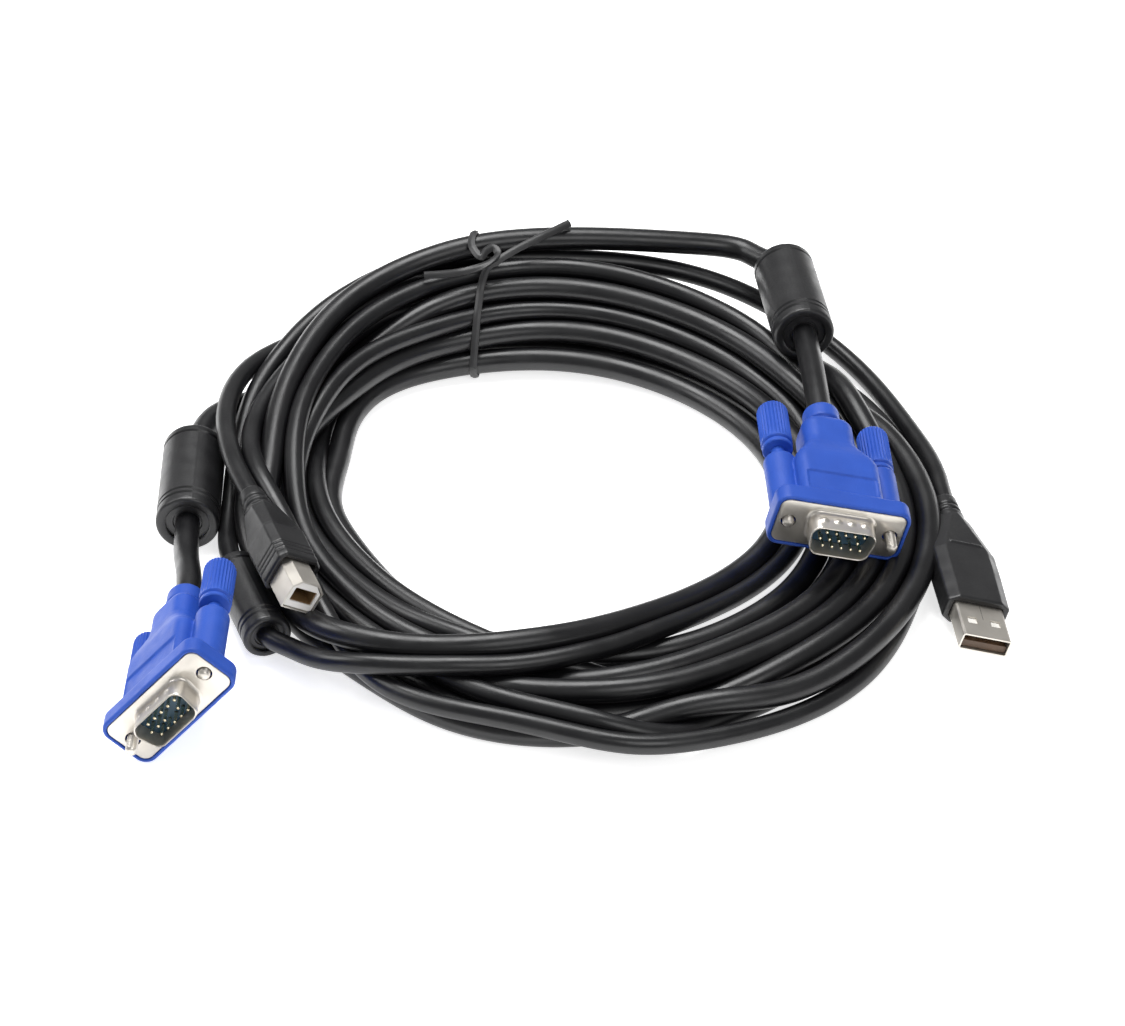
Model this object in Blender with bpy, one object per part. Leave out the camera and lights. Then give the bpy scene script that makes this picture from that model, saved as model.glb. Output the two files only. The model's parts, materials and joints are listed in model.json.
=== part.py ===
"""A KVM cable set: a VGA lead and a USB lead wound together into one tied coil.

Metres, +Z up. Each plug is modelled in its own frame: X along its long side, Z up, and the
plug mates towards -Y, so its lead leaves towards +Y.
"""
import math

import bmesh
import bpy
from mathutils import Euler, Matrix, Vector

MM = 0.001
GAP = 0.3 * MM            # clearance between pieces that touch
TABLE_SHIFT = Vector((-0.76, 5.77, 0.0)) * MM   # brings the middle of the whole set over the origin

# Cables
VGA_CABLE = 6.0 * MM
USB_CABLE = 4.9 * MM
LEAD_STEP = 2.0           # spacing of a lead's points, in cable diameters
STRAIGHT_OUT = 8.0 * MM   # how far a lead runs on straight past its plug

# VGA plug: connector
SCREW_PITCH = 24.99 * MM
PLATE = (30.81 * MM, 12.55 * MM)
PLATE_THICK = 0.8 * MM
PLATE_CORNER = 2.2 * MM
SKIRT = (16.92 * MM, 8.36 * MM)
SKIRT_CORNER = 2.6 * MM
SKIRT_WALL = 0.45 * MM
SKIRT_DEPTH = 5.9 * MM
SKIRT_SLANT = math.radians(10.0)
SKIRT_FLARE = 0.8 * MM
DIMPLE_RADIUS = 1.0 * MM
DIMPLE_PROUD = 0.35 * MM
DIMPLES = 4
DIMPLE_PITCH = 3.3 * MM
INSULATOR_FRONT = 0.9 * MM
INSULATOR_BACK = 8.5 * MM
INSULATOR_BLOCK = (17.6 * MM, 9.2 * MM)
PIN_RADIUS = 0.38 * MM
PIN_CLEARANCE = 0.12 * MM
PIN_PITCH = 2.29 * MM
PIN_ROW = 1.98 * MM
PIN_REACH = 5.1 * MM
PIN_TAIL = 9.6 * MM

# VGA plug: moulded hood
FLANGE = (33.0 * MM, 14.8 * MM)
FLANGE_CORNER = 3.2 * MM
FLANGE_PROUD = 0.2 * MM
FLANGE_BACK = 5.0 * MM
BODY = (20.6 * MM, 14.2 * MM)
BODY_CORNER = 2.6 * MM
BODY_END = 17.8 * MM
SHOULDER = (12.8 * MM, 11.2 * MM)
SHOULDER_START = 28.3 * MM
SHOULDER_END = 35.6 * MM
NECK_RADIUS = 4.5 * MM
NECK_GROOVE = 3.85 * MM
NECK_START = 37.2 * MM
HOOD_LENGTH = 43.3 * MM
SOCKET_DEPTH = 3.0 * MM
LABEL_RECESS = (17.3 * MM, 6.6 * MM)
LABEL_START = 5.5 * MM
LABEL_DEPTH = 0.4 * MM
BOSS_RADIUS = 3.95 * MM
BOSS_END = 22.0 * MM

# VGA plug: thumbscrews
SCREW_RADIUS = 1.42 * MM
SCREW_WAIST = 1.1 * MM
SCREW_TIP = 5.0 * MM
SCREW_THREAD = 9.0 * MM
SCREW_GRIP = 11.0 * MM
KNOB_RADIUS = 3.85 * MM
KNOB_LENGTH = 15.9 * MM
KNOB_COLLAR = 2.2 * MM
KNOB_RIBS = 16
KNOB_RIB_DEPTH = 0.28 * MM
SCREW_TRAVEL = 3.8 * MM

# Ferrite blocks: outer radius, length, bore, and the moulded skin over the core
VGA_FERRITE = (7.7 * MM, 31.0 * MM)
USB_FERRITE = (5.8 * MM, 27.5 * MM)
FERRITE_SKIN = 1.1 * MM
FERRITE_END = 3.0 * MM
FERRITE_CLEARANCE = 0.5 * MM

# USB plugs
USB_A_SHELL = (12.0 * MM, 4.5 * MM)
USB_A_REACH = 12.4 * MM
USB_A_BODY = (15.8 * MM, 8.2 * MM)
USB_A_LENGTH = 37.0 * MM
USB_B_SHELL = (8.45 * MM, 7.78 * MM)
USB_B_REACH = 8.9 * MM
USB_B_BODY = (11.6 * MM, 10.8 * MM)
USB_B_LENGTH = 26.0 * MM
SHELL_WALL = 0.35 * MM
SHELL_SEAT = 6.0 * MM
RELIEF_RADIUS = 3.7 * MM
RELIEF_LENGTH = 8.0 * MM
TONGUE = (11.0 * MM, 1.8 * MM)

# Twist tie: a flat plastic strip with a wire in it
TIE_WIDTH = 1.9 * MM
TIE_THICK = 0.9 * MM
TIE_TAIL_RIGHT = [(2.6, 0.4, 0.9), (9.0, 2.2, 2.0), (20.5, 5.0, 3.6)]     # along, back and up from the knot
TIE_TAIL_LEFT = [(-2.6, -0.6, 0.6), (-8.0, -2.6, 0.2), (-16.0, -4.0, -0.6)]

# Where each plug lies: middle of its front face, then yaw, pitch and roll in degrees
PLACES = {
    "computer_vga": ((65.2, -32.6, 19.9), (3.1, 2.7, 13.7)),
    "switch_vga": ((-88.4, -93.9, 16.4), (-1.0, -3.9, -47.4)),
    "computer_usb_a": ((97.1, -47.4, 6.2), (5.2, -1.5, 16.9)),
    "switch_usb_b": ((-62.8, -49.4, 19.0), (20.0, -0.8, 32.0)),
}

# The coil: its middle, and its section at a few bearings measured clockwise from the back.
# Each row is bearing, the section's middle radius, length, thickness and outward tilt. It rests
# on the table all round: the turns lean in a stack at the tie and lie flat at the front right.
COIL_MIDDLE = Vector((3.0, -4.0, 0.0))
COIL_SECTIONS = [
    (0, 74.6, 34.6, 13.0, 44.0),
    (18, 72.6, 36.5, 12.8, 37.0),
    (37, 70.5, 37.0, 11.4, 7.0),
    (52, 67.0, 33.0, 12.4, 0.0),
    (68, 65.5, 31.0, 10.0, 0.0),
    (90, 65.3, 34.5, 9.4, 0.0),
    (110, 66.0, 42.5, 9.2, 0.0),
    (135, 68.4, 50.5, 9.0, -2.0),
    (157, 69.6, 46.5, 9.6, -7.0),
    (180, 70.8, 32.5, 11.0, -12.0),
    (195, 71.0, 29.0, 12.5, -8.0),
    (220, 68.0, 29.5, 13.2, 0.0),
    (243, 66.4, 23.6, 12.6, 0.0),
    (270, 69.0, 21.8, 14.8, 0.0),
    (300, 74.2, 22.0, 17.0, 12.0),
    (325, 81.8, 28.0, 15.0, 32.0),
    (342, 79.2, 33.5, 13.4, 43.0),
]
COIL_SLICES = 45
COIL_ROUNDNESS = 0.93     # corner radius as a share of half the thickness
TIE_BEARING = 345.0
TIE_LIFT = 1.8            # the coil is held this far off the table where the tie passes under it
TIE_LIFT_SPREAD = 16.0

# Routes of the leads, in millimetres on the table, from the plug to the coil
COMPUTER_VGA_ROUTE = [
    (61.6, 29.0, 22.6), (61.2, 39.0, 22.3), (60.6, 44.4, 22.2), (58.6, 59.9, 22.2), (56.6, 75.3, 22.2),
    (56.0, 79.0, 22.3), (50.0, 84.5, 23.0), (40.0, 84.6, 23.6), (31.0, 82.7, 23.8)]
SWITCH_VGA_ROUTE = [
    (-89.6, -31.0, 9.6), (-90.35, -20.0, 8.0), (-90.4, -14.0, 8.0), (-90.6, 0.0, 8.0), (-90.8, 14.0, 8.0),
    (-90.85, 20.0, 8.0), (-88.0, 29.0, 6.8), (-80.2, 36.5, 5.8), (-71.1, 43.2, 6.0)]
COMPUTER_USB_ROUTE = [
    (91.0, 13.0, 4.0), (88.8, 22.0, 3.0), (84.4, 37.0, 2.7), (79.4, 50.0, 2.7), (72.6, 62.0, 3.2),
    (62.5, 72.5, 5.6), (49.0, 79.5, 10.6), (33.0, 81.5, 16.0)]
SWITCH_USB_ROUTE = [
    (-79.2, 0.0, 17.6), (-82.0, 9.0, 16.4), (-83.0, 20.0, 15.6), (-81.6, 31.0, 15.4), (-77.0, 42.0, 16.0),
    (-69.8, 51.4, 17.8), (-62.9, 57.8, 20.0)]
FERRITE_STRAND = [
    (-74.5, 9.0, 5.0), (-78.0, 0.0, 5.6), (-79.7, -10.0, 6.4), (-79.7, -21.0, 6.6), (-78.0, -31.0, 6.6),
    (-68.6, -57.0, 6.6), (-63.0, -64.0, 6.4), (-55.0, -68.5, 6.0), (-45.0, -70.0, 5.6)]

# Materials

def material(name, colour, roughness, metallic=0.0):
    found = bpy.data.materials.get(name)
    if found:
        return found
    made = bpy.data.materials.new(name)
    made.use_nodes = True
    shader = made.node_tree.nodes["Principled BSDF"]
    shader.inputs["Base Color"].default_value = (*colour, 1.0)
    shader.inputs["Roughness"].default_value = roughness
    shader.inputs["Metallic"].default_value = metallic
    return made


def cable_black():
    return material("cable_black", (0.020, 0.020, 0.021), 0.42)


def moulded_black():
    return material("moulded_black", (0.032, 0.032, 0.033), 0.55)


def moulded_blue():
    return material("moulded_blue", (0.085, 0.21, 0.72), 0.45)


def contact_blue():
    return material("contact_blue", (0.012, 0.06, 0.11), 0.35)


def nickel():
    return material("nickel", (0.62, 0.58, 0.53), 0.3, 1.0)


def ferrite_grey():
    return material("ferrite_grey", (0.05, 0.05, 0.052), 0.7)


def insulator_white():
    return material("insulator_white", (0.75, 0.74, 0.70), 0.5)


# Shapes

def add_object(name, mesh, finish, holder=None):
    made = bpy.data.objects.new(name, mesh)
    bpy.context.scene.collection.objects.link(made)
    if finish:
        mesh.materials.append(finish)
    made.parent = holder
    return made


def mesh_from(name, points, faces):
    mesh = bpy.data.meshes.new(name)
    mesh.from_pydata(points, [], faces)
    work = bmesh.new()
    work.from_mesh(mesh)
    bmesh.ops.recalc_face_normals(work, faces=work.faces)
    work.to_mesh(mesh)
    work.free()
    mesh.shade_smooth()
    mesh.set_sharp_from_angle(angle=math.radians(35.0))
    return mesh


def loft(name, rings, closed=False):
    """Skin a row of rings with equal numbers of points, with flat ends or closed on itself."""
    count = len(rings[0])
    points = [point for ring in rings for point in ring]
    faces = []
    spans = len(rings) if closed else len(rings) - 1
    for row in range(spans):
        here = row * count
        there = ((row + 1) % len(rings)) * count
        for i in range(count):
            j = (i + 1) % count
            faces.append((here + i, here + j, there + j, there + i))
    if not closed:
        faces.append(tuple(range(count)))
        faces.append(tuple((len(rings) - 1) * count + i for i in range(count)))
    return mesh_from(name, points, faces)


def rounded_outline(corners, radius, steps=3):
    """A polygon's outline with each corner rounded by an arc; corners run one way round."""
    outline = []
    for i, corner in enumerate(corners):
        here = Vector(corner)
        back = (Vector(corners[i - 1]) - here).normalized()
        ahead = (Vector(corners[(i + 1) % len(corners)]) - here).normalized()
        half = back.angle(ahead) / 2.0
        centre = here + (back + ahead).normalized() * (radius / math.sin(half))
        start = here + back * (radius / math.tan(half)) - centre
        end = here + ahead * (radius / math.tan(half)) - centre
        sweep = start.angle(end)
        for k in range(steps + 1):
            t = k / steps
            arm = (start * math.sin((1 - t) * sweep) + end * math.sin(t * sweep)) / math.sin(sweep)
            outline.append(centre + arm)
    return outline


def rectangle(size, radius, steps=3):
    half_x, half_z = size[0] / 2.0, size[1] / 2.0
    corners = [(-half_x, -half_z), (half_x, -half_z), (half_x, half_z), (-half_x, half_z)]
    return rounded_outline(corners, min(radius, 0.4999 * min(size)), steps)


def d_outline(grow=0.0):
    """The skirt's outline: a long top, a shorter bottom and slanted ends, grown by an offset."""
    half_z = SKIRT[1] / 2.0 + grow
    top = SKIRT[0] / 2.0 + grow
    bottom = top - 2.0 * half_z * math.tan(SKIRT_SLANT)
    corners = [(-bottom, -half_z), (bottom, -half_z), (top, half_z), (-top, half_z)]
    return rounded_outline(corners, SKIRT_CORNER + grow, 4)


def at_depth(outline, y, x=0.0, z=0.0):
    return [(p[0] + x, y, p[1] + z) for p in outline]


def stack(name, sections):
    """A loft along Y of (y, outline) sections."""
    return loft(name, [at_depth(outline, y) for y, outline in sections])


def turn(name, profile, sides, x=0.0, ribs=None):
    """Turn a closed (radius, y) profile about the line along Y at x; ribs lowers every other side."""
    rings = []
    for k in range(sides):
        angle = 2.0 * math.pi * k / sides
        ring = []
        for radius, y in profile:
            r = radius
            if ribs and k % 2 and ribs[0] <= y <= ribs[1] and radius > ribs[2]:
                r = radius - KNOB_RIB_DEPTH
            ring.append((x + r * math.cos(angle), y, r * math.sin(angle)))
        rings.append(ring)
    mesh = loft(name, rings, closed=True)
    return weld_axis(mesh)


def weld_axis(mesh):
    work = bmesh.new()
    work.from_mesh(mesh)
    bmesh.ops.remove_doubles(work, verts=work.verts, dist=1e-6)
    bmesh.ops.dissolve_degenerate(work, edges=work.edges, dist=1e-7)
    bmesh.ops.recalc_face_normals(work, faces=work.faces)
    work.to_mesh(mesh)
    work.free()
    mesh.shade_smooth()
    mesh.set_sharp_from_angle(angle=math.radians(35.0))
    return mesh


def cylinder(name, radius, start, end, x=0.0, z=0.0, sides=16):
    outline = [(x + radius * math.cos(2 * math.pi * k / sides), z + radius * math.sin(2 * math.pi * k / sides))
               for k in range(sides)]
    return stack(name, [(start, outline), (end, outline)])


def combine(target, mesh, operation):
    """Cut or join a guide shape, kept hidden beside the piece that it shapes."""
    guide = add_object(f"guide_{target.name}_{len(target.modifiers)}", mesh, None, target.parent)
    guide.location = target.location
    guide.rotation_mode = target.rotation_mode
    guide.rotation_euler = target.rotation_euler
    guide.hide_render = True
    guide.display_type = "WIRE"
    modifier = target.modifiers.new(operation.lower(), "BOOLEAN")
    modifier.operation = operation
    modifier.solver = "EXACT"
    modifier.object = guide
    return guide


def holder_at(name):
    """An empty on the table that carries a plug's pieces."""
    place, angles = PLACES[name]
    holder = bpy.data.objects.new(f"{name}_place", None)
    bpy.context.scene.collection.objects.link(holder)
    yaw, pitch, roll = (math.radians(angle) for angle in angles)
    holder.rotation_mode = "YXZ"
    holder.rotation_euler = Euler((pitch, roll, yaw), "YXZ")
    holder.location = Vector(place) * MM + TABLE_SHIFT
    return holder


def matrix_of(name):
    place, angles = PLACES[name]
    yaw, pitch, roll = (math.radians(angle) for angle in angles)
    turned = Euler((pitch, roll, yaw), "YXZ").to_matrix().to_4x4()
    return Matrix.Translation(Vector(place) * MM + TABLE_SHIFT) @ turned


# VGA plug

def vga_hood(prefix, holder):
    flange_front = tuple(side - 1.1 * MM for side in FLANGE)
    flange_rear = tuple(side - 0.6 * MM for side in FLANGE)
    hood = add_object(f"{prefix}_hood", stack("hood", [
        (-FLANGE_PROUD, rectangle(flange_front, FLANGE_CORNER - 0.5 * MM)),
        (-FLANGE_PROUD + 0.5 * MM, rectangle(FLANGE, FLANGE_CORNER)),
        (FLANGE_BACK - 0.3 * MM, rectangle(FLANGE, FLANGE_CORNER)),
        (FLANGE_BACK, rectangle(flange_rear, FLANGE_CORNER)),
    ]), moulded_blue(), holder)
    round_neck = rectangle((2 * NECK_RADIUS, 2 * NECK_RADIUS), NECK_RADIUS)
    groove = rectangle((2 * NECK_GROOVE, 2 * NECK_GROOVE), NECK_GROOVE)
    neck_tip = rectangle((2 * NECK_RADIUS - 1.2 * MM, 2 * NECK_RADIUS - 1.2 * MM), NECK_RADIUS)
    flare = SHOULDER_START - BODY_END
    mix = [(0.0, 0.0), (0.16, 0.05), (0.42, 0.38), (0.72, 0.82), (1.0, 1.0)]
    sections = [(FLANGE_BACK - 1.0 * MM, rectangle(BODY, BODY_CORNER))]
    for along, share in mix:
        size = tuple(BODY[i] + (SHOULDER[i] - BODY[i]) * share for i in range(2))
        sections.append((BODY_END + flare * along, rectangle(size, BODY_CORNER + 0.8 * MM * share)))
    sections += [
        (SHOULDER_END, rectangle(SHOULDER, BODY_CORNER + 0.8 * MM)),
        (SHOULDER_END + 1.0 * MM, rectangle((SHOULDER[0] - 1.2 * MM, SHOULDER[1] - 1.0 * MM), 3.4 * MM)),
        (NECK_START, groove),
        (NECK_START + 1.1 * MM, groove),
        (NECK_START + 1.5 * MM, round_neck),
        (HOOD_LENGTH - 0.6 * MM, round_neck),
        (HOOD_LENGTH, neck_tip),
    ]
    combine(hood, stack("hood_body", sections), "UNION")
    for side in (-1, 1):
        boss = turn("boss", [(0, 1 * MM), (BOSS_RADIUS, 1 * MM), (BOSS_RADIUS, BOSS_END - 0.4 * MM),
                             (BOSS_RADIUS - 0.4 * MM, BOSS_END), (0, BOSS_END)], 20, side * SCREW_PITCH / 2)
        combine(hood, boss, "UNION")
    seat = tuple(side + GAP for side in PLATE)
    combine(hood, stack("plate_seat", [
        (-1.0 * MM, rectangle(seat, PLATE_CORNER)), (PLATE_THICK + GAP, rectangle(seat, PLATE_CORNER))]), "DIFFERENCE")
    block = tuple(side + 2 * GAP for side in INSULATOR_BLOCK)
    combine(hood, stack("contact_space", [
        (-1.0 * MM, rectangle(block, 1.0 * MM)), (PIN_TAIL + 1.0 * MM, rectangle(block, 1.0 * MM))]), "DIFFERENCE")
    for side in (-1, 1):
        bore = cylinder("bore", SCREW_RADIUS + GAP, -1.0 * MM, BOSS_END + 1.0 * MM, side * SCREW_PITCH / 2)
        combine(hood, bore, "DIFFERENCE")
    combine(hood, cylinder("cable_socket", VGA_CABLE / 2 + GAP, HOOD_LENGTH - SOCKET_DEPTH,
                           HOOD_LENGTH + 1.0 * MM), "DIFFERENCE")
    label = rectangle((LABEL_RECESS[0], 2 * LABEL_DEPTH), 0.01 * MM, 1)
    label = at_depth(label, 0.0, 0.0, BODY[1] / 2)
    rings = [[(p[0], y, p[2]) for p in label] for y in (LABEL_START, LABEL_START + LABEL_RECESS[1])]
    combine(hood, loft("label_recess", rings), "DIFFERENCE")
    return hood


def vga_shell(prefix, holder):
    shell = add_object(f"{prefix}_shell", stack("plate", [
        (0.0, rectangle(PLATE, PLATE_CORNER)), (PLATE_THICK, rectangle(PLATE, PLATE_CORNER))]), nickel(), holder)
    combine(shell, stack("skirt", [
        (PLATE_THICK / 2, d_outline(SKIRT_FLARE)),
        (0.0, d_outline(SKIRT_FLARE)),
        (-0.35 * MM, d_outline(0.3 * SKIRT_FLARE)),
        (-0.9 * MM, d_outline()),
        (-SKIRT_DEPTH + 0.3 * MM, d_outline()),
        (-SKIRT_DEPTH, d_outline(-0.15 * MM)),
    ]), "UNION")
    for row, face in ((1, SKIRT[1] / 2), (-1, -SKIRT[1] / 2)):
        for k in range(DIMPLES):
            x = (k - (DIMPLES - 1) / 2) * DIMPLE_PITCH
            bump = bpy.data.meshes.new("dimple")
            work = bmesh.new()
            bmesh.ops.create_uvsphere(work, u_segments=6, v_segments=4, radius=DIMPLE_RADIUS)
            centre = Vector((x, -SKIRT_DEPTH * 0.48, face - row * (DIMPLE_RADIUS - DIMPLE_PROUD)))
            bmesh.ops.translate(work, verts=work.verts, vec=centre)
            work.to_mesh(bump)
            work.free()
            combine(shell, bump, "UNION")
    combine(shell, stack("mouth", [
        (-SKIRT_DEPTH - 1.0 * MM, d_outline(-SKIRT_WALL)), (PLATE_THICK + 1.0 * MM, d_outline(-SKIRT_WALL))]),
        "DIFFERENCE")
    for side in (-1, 1):
        hole = cylinder("hole", SCREW_RADIUS + 0.2 * MM, -1.0 * MM, 2.0 * MM, side * SCREW_PITCH / 2)
        combine(shell, hole, "DIFFERENCE")
    return shell


def pin_places():
    """Fifteen places in three rows, the middle row half a pitch aside, with the ninth left out."""
    places = []
    for row, shift in ((0, 0.25), (1, -0.25), (2, 0.25)):
        for k in range(5):
            number = row * 5 + k + 1
            if number == 9:
                continue
            x = (k - 2 + shift) * PIN_PITCH
            places.append((number, x, (1 - row) * PIN_ROW))
    return places


def vga_contacts(prefix, holder):
    inside = d_outline(-SKIRT_WALL - GAP / 2)
    insulator = add_object(f"{prefix}_insulator", stack("insulator", [
        (-INSULATOR_FRONT, inside), (INSULATOR_BACK, inside)]), contact_blue(), holder)
    combine(insulator, stack("insulator_block", [
        (PLATE_THICK + GAP, rectangle(INSULATOR_BLOCK, 0.8 * MM)),
        (INSULATOR_BACK + 0.2 * MM, rectangle(INSULATOR_BLOCK, 0.8 * MM))]), "UNION")
    for number, x, z in pin_places():
        hole = cylinder("pin_hole", PIN_RADIUS + PIN_CLEARANCE, -2.0 * MM, INSULATOR_BACK + 1.0 * MM, x, z, 6)
        combine(insulator, hole, "DIFFERENCE")
        pin = turn("pin", [(0, -PIN_REACH), (PIN_RADIUS, -PIN_REACH + 0.35 * MM),
                           (PIN_RADIUS, PIN_TAIL), (0, PIN_TAIL)], 6)
        node = add_object(f"{prefix}_pin_{number:02d}", pin, nickel(), holder)
        node.location = (x, 0.0, z)


def thumbscrew(prefix, side_name, side, pulled, holder):
    """A knurled knob on a captive screw; both slide back together when the screw is pulled."""
    back = SCREW_TRAVEL if pulled else 0.0
    grip_start = BOSS_END + GAP
    grip_end = grip_start + SCREW_GRIP
    screw = add_object(f"{prefix}_{side_name}_screw", turn("screw", [
        (0, -SCREW_TIP), (SCREW_RADIUS - 0.5 * MM, -SCREW_TIP), (SCREW_RADIUS, -SCREW_TIP + 0.6 * MM),
        (SCREW_RADIUS, SCREW_THREAD), (SCREW_WAIST, SCREW_THREAD + 0.5 * MM),
        (SCREW_WAIST, grip_start - 0.5 * MM), (SCREW_RADIUS, grip_start),
        (SCREW_RADIUS, grip_end), (0, grip_end)], 14), nickel(), holder)
    knob_end = grip_start + KNOB_LENGTH
    bore = SCREW_RADIUS + GAP
    rib_start = grip_start + KNOB_COLLAR
    rib_end = knob_end - 1.2 * MM
    profile = [
        (0, grip_end + GAP), (bore, grip_end + GAP), (bore, grip_start),
        (KNOB_RADIUS - 0.5 * MM, grip_start), (KNOB_RADIUS - 0.15 * MM, grip_start + 0.35 * MM),
        (KNOB_RADIUS - 0.15 * MM, rib_start - 0.3 * MM), (KNOB_RADIUS, rib_start),
        (KNOB_RADIUS, rib_end), (KNOB_RADIUS - 0.55 * MM, rib_end + 0.75 * MM),
        (KNOB_RADIUS - 1.6 * MM, knob_end), (0, knob_end)]
    ribs = (rib_start - 0.01 * MM, rib_end + 0.01 * MM, KNOB_RADIUS - 0.1 * MM)
    knob = add_object(f"{prefix}_{side_name}_knob", turn("knob", profile, 2 * KNOB_RIBS, ribs=ribs),
                      moulded_blue(), holder)
    for piece in (screw, knob):
        piece.location = (side * SCREW_PITCH / 2, back, 0.0)


def vga_plug(prefix, pulled_side):
    holder = holder_at(prefix)
    vga_hood(prefix, holder)
    vga_shell(prefix, holder)
    vga_contacts(prefix, holder)
    for side_name, side in (("left", -1), ("right", 1)):
        thumbscrew(prefix, side_name, side, side == pulled_side, holder)


# USB plugs

def relief_sections(start, length, cable):
    """A short round boot with two ribs, ending where the cable leaves it."""
    rib = length / 3.0
    sections = []
    for k in range(2):
        y = start + rib * (0.25 + 1.15 * k)
        for offset, radius in ((0.0, 0.80), (0.25, 1.0), (0.62, 1.0), (0.85, 0.80)):
            r = RELIEF_RADIUS * radius
            sections.append((y + rib * offset, rectangle((2 * r, 2 * r), r)))
    r = cable / 2 + 0.9 * MM
    sections.append((start + length - 0.3 * MM, rectangle((2 * r, 2 * r), r)))
    r -= 0.3 * MM
    sections.append((start + length, rectangle((2 * r, 2 * r), r)))
    return sections


def overmould(name, holder, body, length, cable, taper, chamfer):
    nose = tuple(side - 1.0 * MM for side in body)
    sections = [
        (0.0, rectangle(nose, chamfer)), (0.8 * MM, rectangle(body, chamfer)),
        (taper, rectangle(body, chamfer)),
        (taper + 2.2 * MM, rectangle((body[0] - 1.0 * MM, body[1] - 0.3 * MM), chamfer)),
        (length - 1.2 * MM, rectangle((2.25 * RELIEF_RADIUS, 2.1 * RELIEF_RADIUS), 0.8 * RELIEF_RADIUS)),
        (length, rectangle((1.7 * RELIEF_RADIUS, 1.7 * RELIEF_RADIUS), RELIEF_RADIUS)),
    ]
    sections += relief_sections(length, RELIEF_LENGTH, cable)
    made = add_object(name, stack(name, sections), moulded_black(), holder)
    end = length + RELIEF_LENGTH
    combine(made, cylinder("cable_socket", cable / 2 + GAP, end - SOCKET_DEPTH, end + 1.0 * MM), "DIFFERENCE")
    return made


def usb_a_plug():
    prefix = "computer_usb_a"
    holder = holder_at(prefix)
    body = overmould(f"{prefix}_overmould", holder, USB_A_BODY, USB_A_LENGTH, USB_CABLE, 21.0 * MM, 2.2 * MM)
    seat = tuple(side + 2 * GAP for side in USB_A_SHELL)
    combine(body, stack("shell_seat", [
        (-1.0 * MM, rectangle(seat, 0.7 * MM)), (SHELL_SEAT + GAP, rectangle(seat, 0.7 * MM))]), "DIFFERENCE")
    thumb = [(p[0], p[1] + 12.0 * MM) for p in rectangle((9.0 * MM, 11.0 * MM), 3.5 * MM)]
    rings = [[(x, y, z) for x, y in thumb] for z in (USB_A_BODY[1] / 2 - 0.3 * MM, USB_A_BODY[1])]
    combine(body, loft("thumb_rest", rings), "DIFFERENCE")
    shell = add_object(f"{prefix}_shell", stack("shell", [
        (-USB_A_REACH, rectangle(USB_A_SHELL, 0.6 * MM)), (SHELL_SEAT, rectangle(USB_A_SHELL, 0.6 * MM))]),
        nickel(), holder)
    inner = tuple(side - 2 * SHELL_WALL for side in USB_A_SHELL)
    combine(shell, stack("shell_inside", [
        (-USB_A_REACH - 1.0 * MM, rectangle(inner, 0.3 * MM)), (SHELL_SEAT + 1.0 * MM, rectangle(inner, 0.3 * MM))]),
        "DIFFERENCE")
    window = rectangle((2.3 * MM, 2 * USB_A_SHELL[1]), 0.01 * MM, 1)
    for side in (-1, 1):
        cut = at_depth(window, 0.0, side * 2.9 * MM)
        rings = [[(p[0], y, p[2]) for p in cut] for y in (-7.6 * MM, -5.2 * MM)]
        combine(shell, loft("window", rings), "DIFFERENCE")
    tongue_z = -inner[1] / 2 + GAP / 2 + TONGUE[1] / 2
    tongue = add_object(f"{prefix}_tongue", loft("tongue", [
        at_depth(rectangle(TONGUE, 0.2 * MM, 1), y, 0.0, tongue_z) for y in (-USB_A_REACH + 0.8 * MM, 5.0 * MM)]),
        insulator_white(), holder)
    contact = rectangle((1.1 * MM, 0.5 * MM), 0.05 * MM, 1)
    for place in (-3.5, -1.0, 1.0, 3.5):
        rings = [at_depth(contact, y, place * MM, tongue_z + TONGUE[1] / 2) for y in (-10.5 * MM, 3.0 * MM)]
        combine(tongue, loft("contact", rings), "UNION")


def usb_b_outline(size, chamfer):
    half_x, half_z = size[0] / 2, size[1] / 2
    corners = [(-half_x, -half_z), (half_x, -half_z), (half_x, half_z - chamfer),
               (half_x - chamfer, half_z), (-half_x + chamfer, half_z), (-half_x, half_z - chamfer)]
    return rounded_outline(corners, 0.25 * MM, 2)


def usb_b_plug():
    prefix = "switch_usb_b"
    holder = holder_at(prefix)
    body = overmould(f"{prefix}_overmould", holder, USB_B_BODY, USB_B_LENGTH, USB_CABLE, 13.0 * MM, 1.6 * MM)
    chamfer = 1.75 * MM
    grown = tuple(side + 2 * GAP for side in USB_B_SHELL)
    combine(body, stack("shell_seat", [
        (-1.0 * MM, usb_b_outline(grown, chamfer)), (SHELL_SEAT + GAP, usb_b_outline(grown, chamfer))]), "DIFFERENCE")
    shell = add_object(f"{prefix}_shell", stack("shell", [
        (-USB_B_REACH, usb_b_outline(USB_B_SHELL, chamfer)), (SHELL_SEAT, usb_b_outline(USB_B_SHELL, chamfer))]),
        nickel(), holder)
    inner = tuple(side - 2 * SHELL_WALL for side in USB_B_SHELL)
    combine(shell, stack("shell_inside", [
        (-USB_B_REACH - 1.0 * MM, usb_b_outline(inner, chamfer)),
        (SHELL_SEAT + 1.0 * MM, usb_b_outline(inner, chamfer))]), "DIFFERENCE")
    core_size = tuple(side - GAP for side in inner)
    core = add_object(f"{prefix}_core", stack("core", [
        (-USB_B_REACH + 0.3 * MM, usb_b_outline(core_size, chamfer)), (5.0 * MM, usb_b_outline(core_size, chamfer))]),
        insulator_white(), holder)
    combine(core, stack("core_mouth", [
        (-USB_B_REACH - 1.0 * MM, rectangle((5.9 * MM, 3.6 * MM), 0.3 * MM)),
        (0.0, rectangle((5.9 * MM, 3.6 * MM), 0.3 * MM))]), "DIFFERENCE")


# Ferrites

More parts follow.
